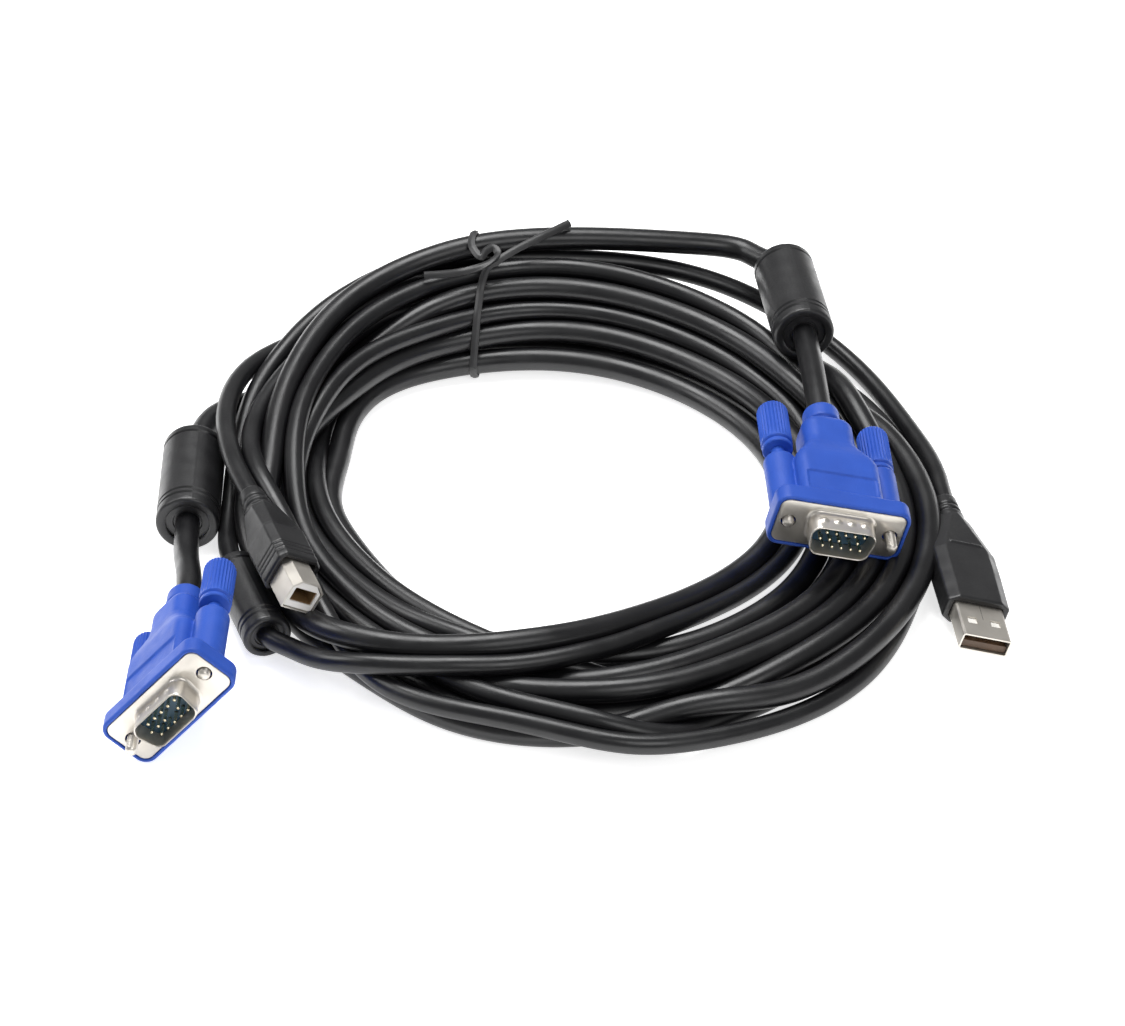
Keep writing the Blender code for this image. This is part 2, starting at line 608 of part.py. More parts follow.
def ferrite(prefix, size, cable, start, end):
    """A ferrite tube in a moulded skin with grooves near its ends, centred between two points."""
    radius, length = size
    axis = (Vector(end) - Vector(start)).normalized()
    middle = (Vector(start) + Vector(end)) / 2.0 * MM + TABLE_SHIFT
    bore = cable / 2 + FERRITE_CLEARANCE
    half = length / 2
    groove = 0.4 * MM
    cavity = radius - FERRITE_SKIN
    step = bore + 0.45 * (radius - bore)
    outer = [(bore, -half), (radius - 0.8 * MM, -half), (radius, -half + 0.8 * MM)]
    for y in (-half + 2.6 * MM, half - 5.0 * MM, half - 3.2 * MM):
        outer += [(radius, y - 0.4 * MM), (radius - groove, y), (radius, y + 0.4 * MM)]
    outer += [(radius, half - 0.8 * MM), (radius - 0.8 * MM, half), (step, half), (step, half - 0.9 * MM),
              (bore, half - 0.9 * MM)]
    inner_half = half - FERRITE_END
    inside = [(bore, inner_half), (cavity, inner_half), (cavity, -inner_half), (bore, -inner_half)]
    skin = add_object(f"{prefix}_jacket", turn("jacket", outer + inside, 18), moulded_black())
    core_out = cavity - GAP
    core_in = bore + 0.3 * MM
    core_half = inner_half - GAP
    core = add_object(f"{prefix}_core", turn("core", [
        (core_in, -core_half), (core_out, -core_half), (core_out, core_half), (core_in, core_half)], 16),
        ferrite_grey())
    for piece in (skin, core):
        piece.rotation_mode = "QUATERNION"
        piece.rotation_quaternion = Vector((0, 1, 0)).rotation_difference(axis)
        piece.location = middle


# Cables

def smooth_path(points, per_span=16):
    """Points along a centripetal Catmull-Rom curve through the route's own points."""
    route = [Vector(p) for p in points]
    route = [2 * route[0] - route[1]] + route + [2 * route[-1] - route[-2]]
    path = []
    for i in range(1, len(route) - 2):
        p0, p1, p2, p3 = route[i - 1:i + 3]
        t0 = 0.0
        t1 = t0 + math.sqrt((p1 - p0).length)
        t2 = t1 + math.sqrt((p2 - p1).length)
        t3 = t2 + math.sqrt((p3 - p2).length)
        for k in range(per_span):
            t = t1 + (t2 - t1) * k / per_span
            a1 = p0.lerp(p1, (t - t0) / (t1 - t0))
            a2 = p1.lerp(p2, (t - t1) / (t2 - t1))
            a3 = p2.lerp(p3, (t - t2) / (t3 - t2))
            b1 = a1.lerp(a2, (t - t0) / (t2 - t0))
            b2 = a2.lerp(a3, (t - t1) / (t3 - t1))
            path.append(b1.lerp(b2, (t - t1) / (t2 - t1)))
    path.append(route[-2])
    return path


def even_points(path, spacing):
    """The same path, with points an even distance apart."""
    lengths = [0.0]
    for a, b in zip(path, path[1:]):
        lengths.append(lengths[-1] + (b - a).length)
    count = max(2, round(lengths[-1] / spacing))
    points = []
    k = 0
    for i in range(count + 1):
        target = lengths[-1] * i / count
        while k < len(path) - 2 and lengths[k + 1] < target:
            k += 1
        share = (target - lengths[k]) / (lengths[k + 1] - lengths[k])
        points.append(path[k].lerp(path[k + 1], min(1.0, share)))
    return points


def route_points(route, diameter, start=None):
    """A lead's own route in metres, led straight out of its plug where it has one."""
    points = [Vector(p) * MM + TABLE_SHIFT for p in route]
    if start:
        points = list(start) + points
    return even_points(smooth_path(points), LEAD_STEP * diameter)


def plug_exit(name, length):
    """Where a lead starts in its plug's socket, and a point straight out from there."""
    matrix = matrix_of(name)
    start = matrix @ Vector((0.0, length - SOCKET_DEPTH + GAP, 0.0))
    ahead = matrix @ Vector((0.0, length + STRAIGHT_OUT, 0.0))
    return start, ahead


def lead(name, points, diameter, finish):
    curve = bpy.data.curves.new(name, "CURVE")
    curve.dimensions = "3D"
    curve.bevel_depth = diameter / 2
    curve.bevel_resolution = 2
    curve.use_fill_caps = True
    spline = curve.splines.new("POLY")
    spline.points.add(len(points) - 1)
    for target, point in zip(spline.points, points):
        target.co = (*point, 1.0)
    made = bpy.data.objects.new(name, curve)
    bpy.context.scene.collection.objects.link(made)
    curve.materials.append(finish)
    return made


def section_at(bearing):
    """The coil's section sizes at a bearing, eased between the rows on either side."""
    bearing %= 360.0
    rows = COIL_SECTIONS + [(COIL_SECTIONS[0][0] + 360.0, *COIL_SECTIONS[0][1:])]
    for low, high in zip(rows, rows[1:]):
        if low[0] <= bearing <= high[0]:
            t = (bearing - low[0]) / (high[0] - low[0])
            t = t * t * (3.0 - 2.0 * t)
            return [a + (b - a) * t for a, b in zip(low[1:], high[1:])]
    raise ValueError(bearing)


def section_outline(bearing, grow=0.0):
    """The coil's tilted, round-ended section at a bearing, as (radius, height) points."""
    radius, length, thickness, tilt = section_at(bearing)
    c, s = math.cos(math.radians(tilt)), math.sin(math.radians(tilt))
    corner = COIL_ROUNDNESS * thickness / 2.0
    flat = rectangle((length, thickness), corner)
    rest = -min(x * s + z * c for x, z in flat)
    off_tie = (bearing - TIE_BEARING + 180.0) % 360.0 - 180.0
    rest += TIE_LIFT * math.exp(-(off_tie / TIE_LIFT_SPREAD) ** 2)
    grown = rectangle((length + 2.0 * grow, thickness + 2.0 * grow), corner + grow)
    return [Vector((radius + x * c - z * s, rest + x * s + z * c)) for x, z in grown]


def on_bearing(bearing, radius, height):
    angle = math.radians(bearing)
    spot = COIL_MIDDLE + Vector((radius * math.sin(angle), radius * math.cos(angle), height))
    return spot * MM + TABLE_SHIFT


def coil():
    rings = []
    for k in range(COIL_SLICES):
        bearing = 360.0 * k / COIL_SLICES
        rings.append([on_bearing(bearing, p[0], p[1]) for p in section_outline(bearing)])
    body = add_object("cable_coil", loft("coil", rings, closed=True), cable_black())
    return body


def ferrite_strand(body):
    """The one USB turn that swings out of the coil and through the third ferrite."""
    points = route_points(FERRITE_STRAND, USB_CABLE)
    rings = []
    sides = 10
    for i, point in enumerate(points):
        ahead = points[min(i + 1, len(points) - 1)]
        behind = points[max(i - 1, 0)]
        frame = (ahead - behind).normalized().to_track_quat("Y", "Z")
        ring = []
        for k in range(sides):
            angle = 2.0 * math.pi * k / sides
            arm = Vector((math.cos(angle), 0.0, math.sin(angle))) * USB_CABLE / 2
            ring.append(point + frame @ arm)
        rings.append(ring)
    combine(body, loft("strand", rings), "UNION")


# Twist tie

def strip(name, points, normals, finish):
    """A flat strip with rounded edges swept along points, its flat side facing each normal."""
    outline = rectangle((TIE_WIDTH, TIE_THICK), 0.45 * TIE_THICK, 1)
    rings = []
    for i, point in enumerate(points):
        ahead = points[min(i + 1, len(points) - 1)]
        behind = points[max(i - 1, 0)]
        along = (ahead - behind).normalized()
        out = (normals[i] - along * normals[i].dot(along)).normalized()
        across = along.cross(out)
        rings.append([point + across * p[0] + out * p[1] for p in outline])
    return add_object(name, loft(name, rings), finish)


def twist_tie():
    """Round the bundle once, then both ends twisted together and left standing off."""
    offset = 2.3 * GAP / MM + TIE_THICK / MM / 2
    outline = section_outline(TIE_BEARING, offset)
    middle = sum((Vector(p) for p in outline), Vector((0.0, 0.0))) / len(outline)
    top = max(range(len(outline)), key=lambda i: outline[i][1] - 0.2 * outline[i][0])
    order = outline[top:] + outline[:top]
    loop = []
    facing = []
    centre = on_bearing(TIE_BEARING, middle[0], middle[1])
    for p in order[1:-1]:
        spot = on_bearing(TIE_BEARING, p[0], p[1])
        loop.append(spot)
        facing.append(spot - centre)
    crown = on_bearing(TIE_BEARING, order[0][0], order[0][1] + 1.5)
    along = (on_bearing(TIE_BEARING + 4.0, order[0][0], 0.0) - on_bearing(TIE_BEARING - 4.0, order[0][0], 0.0))
    along.normalize()
    up = Vector((0.0, 0.0, 1.0))
    back = up.cross(along)
    tail_right = [crown + (along * x + back * y + up * z) * MM for x, y, z in TIE_TAIL_RIGHT]
    tail_left = [crown + (along * x + back * y + up * z) * MM for x, y, z in TIE_TAIL_LEFT]
    points = list(reversed(tail_left)) + loop + tail_right
    normals = [up] * len(tail_left) + facing + [up] * len(tail_right)
    return strip("twist_tie", points, normals, material("tie_black", (0.025, 0.025, 0.026), 0.4))


def lay_cables():
    body = coil()
    ferrite_strand(body)
    exits = plug_exit("computer_vga", HOOD_LENGTH)
    lead("computer_vga_lead", route_points(COMPUTER_VGA_ROUTE, VGA_CABLE, exits), VGA_CABLE, cable_black())
    exits = plug_exit("switch_vga", HOOD_LENGTH)
    lead("switch_vga_lead", route_points(SWITCH_VGA_ROUTE, VGA_CABLE, exits), VGA_CABLE, cable_black())
    exits = plug_exit("computer_usb_a", USB_A_LENGTH + RELIEF_LENGTH)
    lead("computer_usb_lead", route_points(COMPUTER_USB_ROUTE, USB_CABLE, exits), USB_CABLE, cable_black())
    exits = plug_exit("switch_usb_b", USB_B_LENGTH + RELIEF_LENGTH)
    lead("switch_usb_lead", route_points(SWITCH_USB_ROUTE, USB_CABLE, exits), USB_CABLE, cable_black())


def main():
    for stray in list(bpy.data.objects):
        bpy.data.objects.remove(stray, do_unlink=True)
    vga_plug("computer_vga", -1)
    vga_plug("switch_vga", 1)
    usb_a_plug()
    usb_b_plug()
    lay_cables()
    ferrite("computer_vga_ferrite", VGA_FERRITE, VGA_CABLE, (56.6, 75.3, 22.2), (60.6, 44.4, 22.2))
    ferrite("switch_vga_ferrite", VGA_FERRITE, VGA_CABLE, (-90.8, 15.5, 8.0), (-90.4, -15.0, 8.0))
    ferrite("usb_ferrite", USB_FERRITE, USB_CABLE, (-78.0, -31.0, 6.6), (-68.6, -57.0, 6.6))
    twist_tie()


main()
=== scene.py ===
"""The looks of the KVM cable set: its two real cables, plugs, ferrites and tie, and the photo's view."""
import json
import math

import bmesh
import bpy
import numpy as np
from mathutils import Euler, Matrix, Vector

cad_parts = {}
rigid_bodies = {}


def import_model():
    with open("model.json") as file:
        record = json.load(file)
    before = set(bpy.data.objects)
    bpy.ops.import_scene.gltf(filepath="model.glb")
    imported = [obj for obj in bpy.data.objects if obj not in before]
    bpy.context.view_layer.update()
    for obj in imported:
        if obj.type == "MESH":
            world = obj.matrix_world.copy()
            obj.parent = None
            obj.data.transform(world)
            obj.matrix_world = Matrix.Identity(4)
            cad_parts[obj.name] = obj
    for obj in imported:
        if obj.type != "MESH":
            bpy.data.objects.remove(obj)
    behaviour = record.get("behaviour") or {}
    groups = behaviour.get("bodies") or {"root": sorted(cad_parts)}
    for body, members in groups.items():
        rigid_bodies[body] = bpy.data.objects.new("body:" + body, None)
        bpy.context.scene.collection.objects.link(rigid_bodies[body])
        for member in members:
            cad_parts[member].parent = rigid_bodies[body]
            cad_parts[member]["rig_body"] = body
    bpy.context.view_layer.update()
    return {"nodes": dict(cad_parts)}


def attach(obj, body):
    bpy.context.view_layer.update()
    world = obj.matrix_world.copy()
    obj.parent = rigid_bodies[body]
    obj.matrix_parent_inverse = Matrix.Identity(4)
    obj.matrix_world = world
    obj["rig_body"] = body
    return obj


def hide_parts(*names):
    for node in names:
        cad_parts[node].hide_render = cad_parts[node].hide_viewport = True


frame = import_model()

BODY = "cable_set"
MM = 0.001
SHIFT = np.array([-0.76, 5.77, 0.0])      # from the table's own millimetres to the CAD's frame

# The photo's camera, which looks at the middle of the table's own millimetres
PHOTO = (1125.0, 1026.0)  # width and height in pixels
FOCAL = 4080.0            # in the photo's pixels
TILT = math.radians(37.0)
AHEAD = np.array([0.0, math.cos(TILT), -math.sin(TILT)])
DISTANCE = 1000.0

# Cables, in millimetres
VGA_RADIUS = 3.0
USB_RADIUS = 2.45
SPACING = 3.0             # between a cable's points
STEP = 4.0                # bearing between a turn's first points, in degrees
STIFF = 25.0              # how strongly a cable resists bending while it settles
SUPPLE = 3.0              # and in the last rounds, when its strands find their seats
COIL_PULL = 0.02          # how strongly a point is drawn back to where the photo shows it
LEAD_PULL = 0.06
SPREAD = 16               # points that a push spreads over, each way
IN_PLUG = 4               # points that a plug holds at a cable's end
COIL_MIDDLE = (3.0, -4.0)

# Where each strand crosses a bearing (clockwise from the back), as radius and height, from the
# strand that is innermost at the right of the photo to the outermost. VGA and USB alternate.
STATIONS = {
    0: [(61, 5.6), (66.6, 4.4), (67, 10.7), (70.8, 14.2), (74.8, 18.1), (80, 21.3),
        (72.6, 7.2), (75.6, 12.2), (80.3, 15.2), (85.3, 15.0), (78.6, 6.3), (83.5, 10.0)],
    20: [(58.4, 4.0), (63.8, 3.4), (63.6, 9.0), (68, 12.4), (71.6, 16.0), (77.2, 18.4),
         (69.8, 5.4), (72.8, 10.0), (77.6, 12.6), (82.8, 13.0), (76, 5.0), (81.3, 7.8)],
    40: [(56, 3.2), (61.4, 2.9), (62, 8.3), (66.8, 9.6), (71.6, 12.8), (77, 12.9),
         (67.2, 4.0), (70.6, 8.0), (76, 8.0), (81.2, 7.2), (73.4, 3.0), (78.8, 2.6)],
    65: [(53.6, 3.0), (59, 2.6), (61.4, 7.2), (65.6, 7.0), (69.8, 10.2), (73.6, 7.6),
         (66, 3.0), (71, 3.4), (75.6, 8.6), (77.6, 3.0), (79.4, 7.2), (82, 2.6)],
    90: [(50.8, 3.0), (56.2, 2.5), (61.4, 4.4), (66.4, 2.6), (69.6, 7.7), (71.2, 2.6),
         (75.2, 7.5), (75.8, 2.6), (79.6, 6.4), (80, 2.6), (82.6, 6.8), (84, 2.6)],
    110: [(48.1, 3.0), (53.5, 2.5), (60.4, 3.0), (66, 2.5), (69.3, 7.2), (70.8, 2.5),
          (74.8, 7.0), (75.6, 2.5), (81, 6.8), (80.2, 2.5), (86.2, 6.4), (84.8, 2.5)],
    130: [(44, 3.0), (49.5, 2.5), (59, 3.2), (64, 2.5), (69.6, 7.2), (69.4, 2.5),
          (75, 6.8), (74.2, 2.5), (80.6, 6.4), (79.2, 2.5), (88.6, 6.8), (90.2, 2.5)],
    150: [(45.4, 5.4), (51, 5.2), (57.4, 3.0), (62.6, 2.5), (68.6, 6.9), (68, 2.5),
          (74.2, 6.3), (73, 2.5), (78.4, 4.6), (77.8, 2.5), (87.6, 4.2), (91, 2.6)],
    170: [(54.4, 10.6), (58.6, 7.6), (58, 3.0), (63.4, 2.5), (68.4, 5.4), (68.4, 2.5),
          (74.4, 6.4), (73.2, 2.5), (77.6, 3.0), (82, 2.8), (81, 3.0), (87.6, 5.6)],
    190: [(64.4, 12.6), (68.8, 8.8), (57.4, 3.0), (60.6, 7.0), (66.6, 3.2), (66, 7.2),
          (73.2, 5.4), (72, 3.0), (77.4, 3.0), (77.8, 7.8), (82, 3.0), (84, 7.8)],
    210: [(75, 12.6), (79.6, 8.6), (54.6, 3.0), (58.2, 7.8), (60.6, 3.0), (63.2, 8.0),
          (66.6, 3.0), (67.8, 8.0), (72.4, 3.0), (72.6, 7.8), (78.2, 3.0), (83.2, 3.2)],
    230: [(80.7, 10.6), (87.4, 6.8), (54, 3.0), (56.8, 8.0), (59.8, 3.0), (61.8, 8.2),
          (65.6, 3.0), (66.6, 8.0), (71.4, 3.0), (71.2, 7.8), (77, 3.2), (76.2, 8.2)],
    250: [(77.6, 8.4), (85.6, 6.6), (55.8, 3.0), (58.4, 8.0), (61.6, 3.0), (63.4, 8.2),
          (67.4, 3.0), (68.4, 8.0), (73.2, 3.0), (73, 7.8), (79, 3.0), (72.4, 12.0)],
    270: [(72.4, 13.2), (83.4, 6.8), (62, 3.0), (63.4, 8.6), (67.8, 3.0), (68.4, 8.2),
          (73.6, 3.0), (66.4, 13.2), (79.2, 3.6), (73.6, 8.4), (78.8, 9.0), (77.6, 13.6)],
    285: [(75.2, 16.0), (84.2, 8.0), (65.2, 3.0), (66.6, 8.4), (70.8, 3.2), (69.4, 12.8),
          (76.6, 3.2), (71.8, 16.4), (82.2, 4.0), (75.6, 11.0), (80, 9.4), (80.2, 14.2)],
    300: [(79.6, 18.2), (89.4, 11.0), (68.6, 3.4), (73.6, 3.4), (68.6, 8.6), (70, 13.4),
          (75, 8.6), (74, 16.8), (80.6, 5.8), (76.2, 13.2), (85.2, 8.6), (82.6, 13.4)],
    320: [(86.4, 22.2), (93.4, 17.2), (72.6, 4.0), (77.4, 4.6), (72.8, 9.6), (74.6, 14.4),
          (78.6, 11.0), (80.2, 19.6), (83.2, 10.4), (79.6, 15.6), (88.6, 12.2), (86, 16.6)],
    340: [(87, 25.2), (88.4, 20.4), (66, 4.6), (71, 4.6), (69, 10.2), (72.6, 14.2),
          (76.8, 17.4), (81.2, 21.0), (75.2, 8.4), (77.6, 12.8), (82.2, 15.6), (87.2, 15.6)],
}
TURNS = 6
LANES = {"vga": 0, "usb": 1}
LAST_BACK = {"vga": (86.5, 25.6), "usb": (85.2, 20.2)}      # where the last turns cross the back
COMING_IN = {"vga": [(322, 84.0, 4.0), (340, 80.6, 5.8)],   # bearing, radius, height
             "usb": [(322, 90.4, 10.4), (340, 86.6, 10.6)]}
GOING_OUT = {"vga": [(9, 89.2, 24.6)], "usb": [(9, 88.6, 18.4)]}

# The twist tie: its plane round the strands, and its two ends as (x, y) pixels of the photo and a height
TIE_MIDDLE = (-20.0, 72.0)
TIE_ACROSS = (0.157, 0.988)
TIE_FRONT = -5.0          # where the knot leaves the loop, from the plane's middle
TIE_SECTION = (2.0, 0.9)
TIE_PROFILE = [(1.0, 0.0), (0.93, 0.5), (0.6, 0.62), (0.3, 1.0)]      # a quarter of it, with the wire's ridge
TIE_OFFSET = 0.55         # from a strand's surface to the tie's middle
TIE_SHIFT = (-4.2, -1.1, 0.0)     # how far the tie's back lies to the left of its front
TIE_TURN = 60             # points over which an end turns its width to the camera
TIE_LIFT = 1.1            # how far the strands are held off the table by the tie under them
TIE_LIFT_REACH = 16.0
TIE_RIGHT_END = [(569.6, 223, 30.5), (545, 235, 30.0), (520, 247.5, 28.8), (505, 256, 27.8), (496, 262, 27.0),
                 (488, 267.5, 26.0)]
TIE_LEFT_END = [(472, 246, 29.2), (481, 257, 28.2), (486, 251, 28.6), (493, 247.5, 28.6), (498, 253, 28.0),
                (492, 260.5, 27.8), (481, 266.5, 27.4), (466, 271, 26.4), (445, 274, 25.6),
                (424.2, 275.3, 25.0)]

# Each plug's place and its yaw, pitch and roll, and the leads' routes from the plugs to the coil
PLACES = {
    "computer_vga": ((65.2, -32.6, 19.9), (3.1, 2.7, 13.7)),
    "switch_vga": ((-88.4, -93.9, 16.4), (-1.0, -3.9, -47.4)),
    "computer_usb_a": ((97.1, -47.4, 6.2), (5.2, -1.5, 16.9)),
    "switch_usb_b": ((-62.8, -49.4, 19.0), (20.0, -0.8, 32.0)),
}
HOOD_LENGTH = 43.3
USB_A_END = 45.0
USB_B_END = 34.0
COMPUTER_VGA_ROUTE = [
    (61.6, 29.0, 22.6), (61.2, 39.0, 22.3), (60.6, 44.4, 22.2), (58.6, 59.9, 22.2), (56.6, 75.3, 22.2),
    (55.7, 78.6, 21.7), (51.6, 82.6, 21.2), (45.6, 84.2, 21.6), (38.5, 84.4, 22.6), (31.0, 82.9, 23.6)]
SWITCH_VGA_ROUTE = [
    (-89.6, -31.0, 9.6), (-90.35, -20.0, 8.0), (-90.4, -14.0, 8.0), (-90.6, 0.0, 8.0), (-90.8, 14.0, 8.0),
    (-90.85, 20.0, 8.0), (-88.0, 29.0, 6.8), (-80.2, 36.5, 5.0), (-71.1, 43.2, 3.6)]
COMPUTER_USB_ROUTE = [
    (91.0, 13.0, 4.0), (88.8, 22.0, 3.0), (84.4, 37.0, 2.7), (79.4, 50.0, 2.7), (72.6, 62.0, 3.2),
    (62.5, 72.5, 5.6), (49.0, 79.5, 10.6), (33.0, 81.5, 16.0)]
SWITCH_USB_ROUTE = [
    (-79.2, 0.0, 17.6), (-82.0, 9.0, 16.4), (-83.0, 20.0, 15.6), (-81.6, 31.0, 15.0), (-77.6, 41.0, 13.6)]
USB_FERRITE = ((-78.0, -31.0, 6.6), (-68.6, -57.0, 6.6))
VGA_FERRITES = {"computer_vga_ferrite": ((56.6, 75.3, 22.2), (60.6, 44.4, 22.2)),
                "switch_vga_ferrite": ((-90.8, 15.5, 8.0), (-90.4, -15.0, 8.0))}


# Places

def from_photo(x, y, height):
    """The place that the photo shows at a pixel, at the height given."""
    right = np.array([1.0, 0.0, 0.0])
    down = np.cross(AHEAD, right)
    ray = AHEAD + (x - PHOTO[0] / 2) / FOCAL * right + (y - PHOTO[1] / 2) / FOCAL * down
    eye = -DISTANCE * AHEAD
    return eye + (height - eye[2]) / ray[2] * ray


def plug_matrix(name):
    """A plug's own frame in table millimetres: X along its long side, mating towards -Y."""
    place, angles = PLACES[name]
    yaw, pitch, roll = (math.radians(angle) for angle in angles)
    return Matrix.Translation(Vector(place)) @ Euler((pitch, roll, yaw), "YXZ").to_matrix().to_4x4()


def placed(name):
    """The same frame in metres, for pieces modelled in metres."""
    matrix = plug_matrix(name)
    matrix.translation = (matrix.translation + Vector(SHIFT)) * MM
    return matrix


def plug_exit(name, length):
    matrix = plug_matrix(name)
    return [np.array(matrix @ Vector((0.0, length - 2.7, 0.0))),
            np.array(matrix @ Vector((0.0, length + 8.0, 0.0)))]


# Cable routes

def on_bearing(bearing, radius, height):
    angle = math.radians(bearing)
    return np.array([COIL_MIDDLE[0] + radius * math.sin(angle),
                     COIL_MIDDLE[1] + radius * math.cos(angle), height])


def crossings(cable):
    """Every (bearing, radius, height) of one cable through its turns, with bearings running on."""
    rows = [(bearing - 360.0, radius, height) for bearing, radius, height in COMING_IN[cable]]
    for turn in range(TURNS):
        lane = 2 * (TURNS - 1 - turn) + LANES[cable]
        for bearing in sorted(STATIONS):
            radius, height = STATIONS[bearing][lane]
            rows.append((bearing + 360.0 * turn, radius, height))
    rows.append((360.0 * TURNS, *LAST_BACK[cable]))
    rows += [(bearing + 360.0 * TURNS, radius, height) for bearing, radius, height in GOING_OUT[cable]]
    return np.array(rows, float)


def eased(x, y, at):
    """Cubic interpolation through (x, y) with each slope taken from its neighbours."""
    width = np.diff(x)
    rise = np.diff(y) / width
    slope = np.empty(len(x))
    slope[0], slope[-1] = rise[0], rise[-1]
    slope[1:-1] = (rise[:-1] * width[1:] + rise[1:] * width[:-1]) / (width[1:] + width[:-1])
    i = np.clip(np.searchsorted(x, at) - 1, 0, len(width) - 1)
    t = (at - x[i]) / width[i]
    return ((1 + 2 * t) * (1 - t) ** 2 * y[i] + t * (1 - t) ** 2 * width[i] * slope[i]
            + t * t * (3 - 2 * t) * y[i + 1] + t * t * (t - 1) * width[i] * slope[i + 1])


def smooth_route(points, per_span=12):
    """A centripetal Catmull-Rom curve through the points."""
    route = [np.array(p, float) for p in points]
    route = [2 * route[0] - route[1]] + route + [2 * route[-1] - route[-2]]
    path = []
    for i in range(1, len(route) - 2):
        p0, p1, p2, p3 = route[i - 1:i + 3]
        t0 = 0.0
        t1 = t0 + math.sqrt(np.linalg.norm(p1 - p0))
        t2 = t1 + math.sqrt(np.linalg.norm(p2 - p1))
        t3 = t2 + math.sqrt(np.linalg.norm(p3 - p2))
        for k in range(per_span):
            t = t1 + (t2 - t1) * k / per_span
            a1 = p0 + (p1 - p0) * (t - t0) / (t1 - t0)
            a2 = p1 + (p2 - p1) * (t - t1) / (t2 - t1)
            a3 = p2 + (p3 - p2) * (t - t2) / (t3 - t2)
            b1 = a1 + (a2 - a1) * (t - t0) / (t2 - t0)
            b2 = a2 + (a3 - a2) * (t - t1) / (t3 - t1)
            path.append(b1 + (b2 - b1) * (t - t1) / (t2 - t1))
    path.append(route[-2])
    return np.array(path)


def evenly(points, spacing):
    steps = np.linalg.norm(np.diff(points, axis=0), axis=1)
    length = np.concatenate([[0.0], np.cumsum(steps)])
    at = np.linspace(0.0, length[-1], int(round(length[-1] / spacing)) + 1)
    return np.stack([np.interp(at, length, points[:, axis]) for axis in range(3)], 1)


def cable_route(cable, lead_in, lead_out):
    """One cable from plug to plug, before its strands are pushed clear of each other."""
    rows = crossings(cable)
    at = np.arange(rows[0, 0], rows[-1, 0] + 0.1, STEP)
    radius = eased(rows[:, 0], rows[:, 1], at)
    height = eased(rows[:, 0], rows[:, 2], at)
    turns = np.array([on_bearing(*row) for row in zip(at, radius, height)])
    start = smooth_route(lead_in + [turns[0], turns[3]])
    end = smooth_route([turns[-4], turns[-1]] + lead_out)
    joins = np.argmin(np.linalg.norm(start - turns[0], axis=1))
    leaves = np.argmin(np.linalg.norm(end - turns[-1], axis=1))
    return evenly(np.concatenate([start[:joins], turns, end[leaves + 1:]]), SPACING)


def onto_axis(points, start, end):
    """Draw the strand that runs through a ferrite onto the ferrite's axis, and say which points it holds."""
    start, end = np.array(start), np.array(end)
    axis = end - start
    share = (points - start) @ axis / (axis @ axis)
    nearest = start + share[:, None] * axis
    inside = (share > -0.03) & (share < 1.03) & (np.linalg.norm(points - nearest, axis=1) < 3.5)
    points[inside] = nearest[inside]
    return inside


def bending_kernel(bend):
    """How a stiff cable spreads a push at one point over its neighbours."""
    wave = 2.0 * np.pi * np.fft.fftfreq(4 * SPREAD)
    reply = np.fft.ifft(1.0 / (1.0 + bend * (2.0 - 2.0 * np.cos(wave)) ** 2)).real
    kernel = np.fft.fftshift(reply)[SPREAD:3 * SPREAD + 1]
    return kernel / kernel.sum()


def straightened(points, kernel):
    """The points smoothed by the kernel, with both ends running on straight."""
    steps = np.arange(1, SPREAD + 1)[:, None]
    before = points[0] + steps[::-1] * (points[0] - points[1])
    after = points[-1] + steps * (points[-1] - points[-2])
    longer = np.concatenate([before, points, after])
    return np.stack([np.convolve(longer[:, axis], kernel, "valid") for axis in range(3)], 1)


def close_pairs(points, cable, order, reach):
    """Pairs of points of different strands that lie within reach of each other."""
    first, second = [], []
    apart = int(18.0 / SPACING)
    for low in range(0, len(points), 256):
        some = points[low:low + 256]
        a, b = np.nonzero(np.linalg.norm(some[:, None] - points[None], axis=2) < reach)
        a = a + low
        keep = (a != b) & ((cable[a] != cable[b]) | (np.abs(order[a] - order[b]) > apart))
        first.append(a[keep])
        second.append(b[keep])
    return np.concatenate(first), np.concatenate(second)


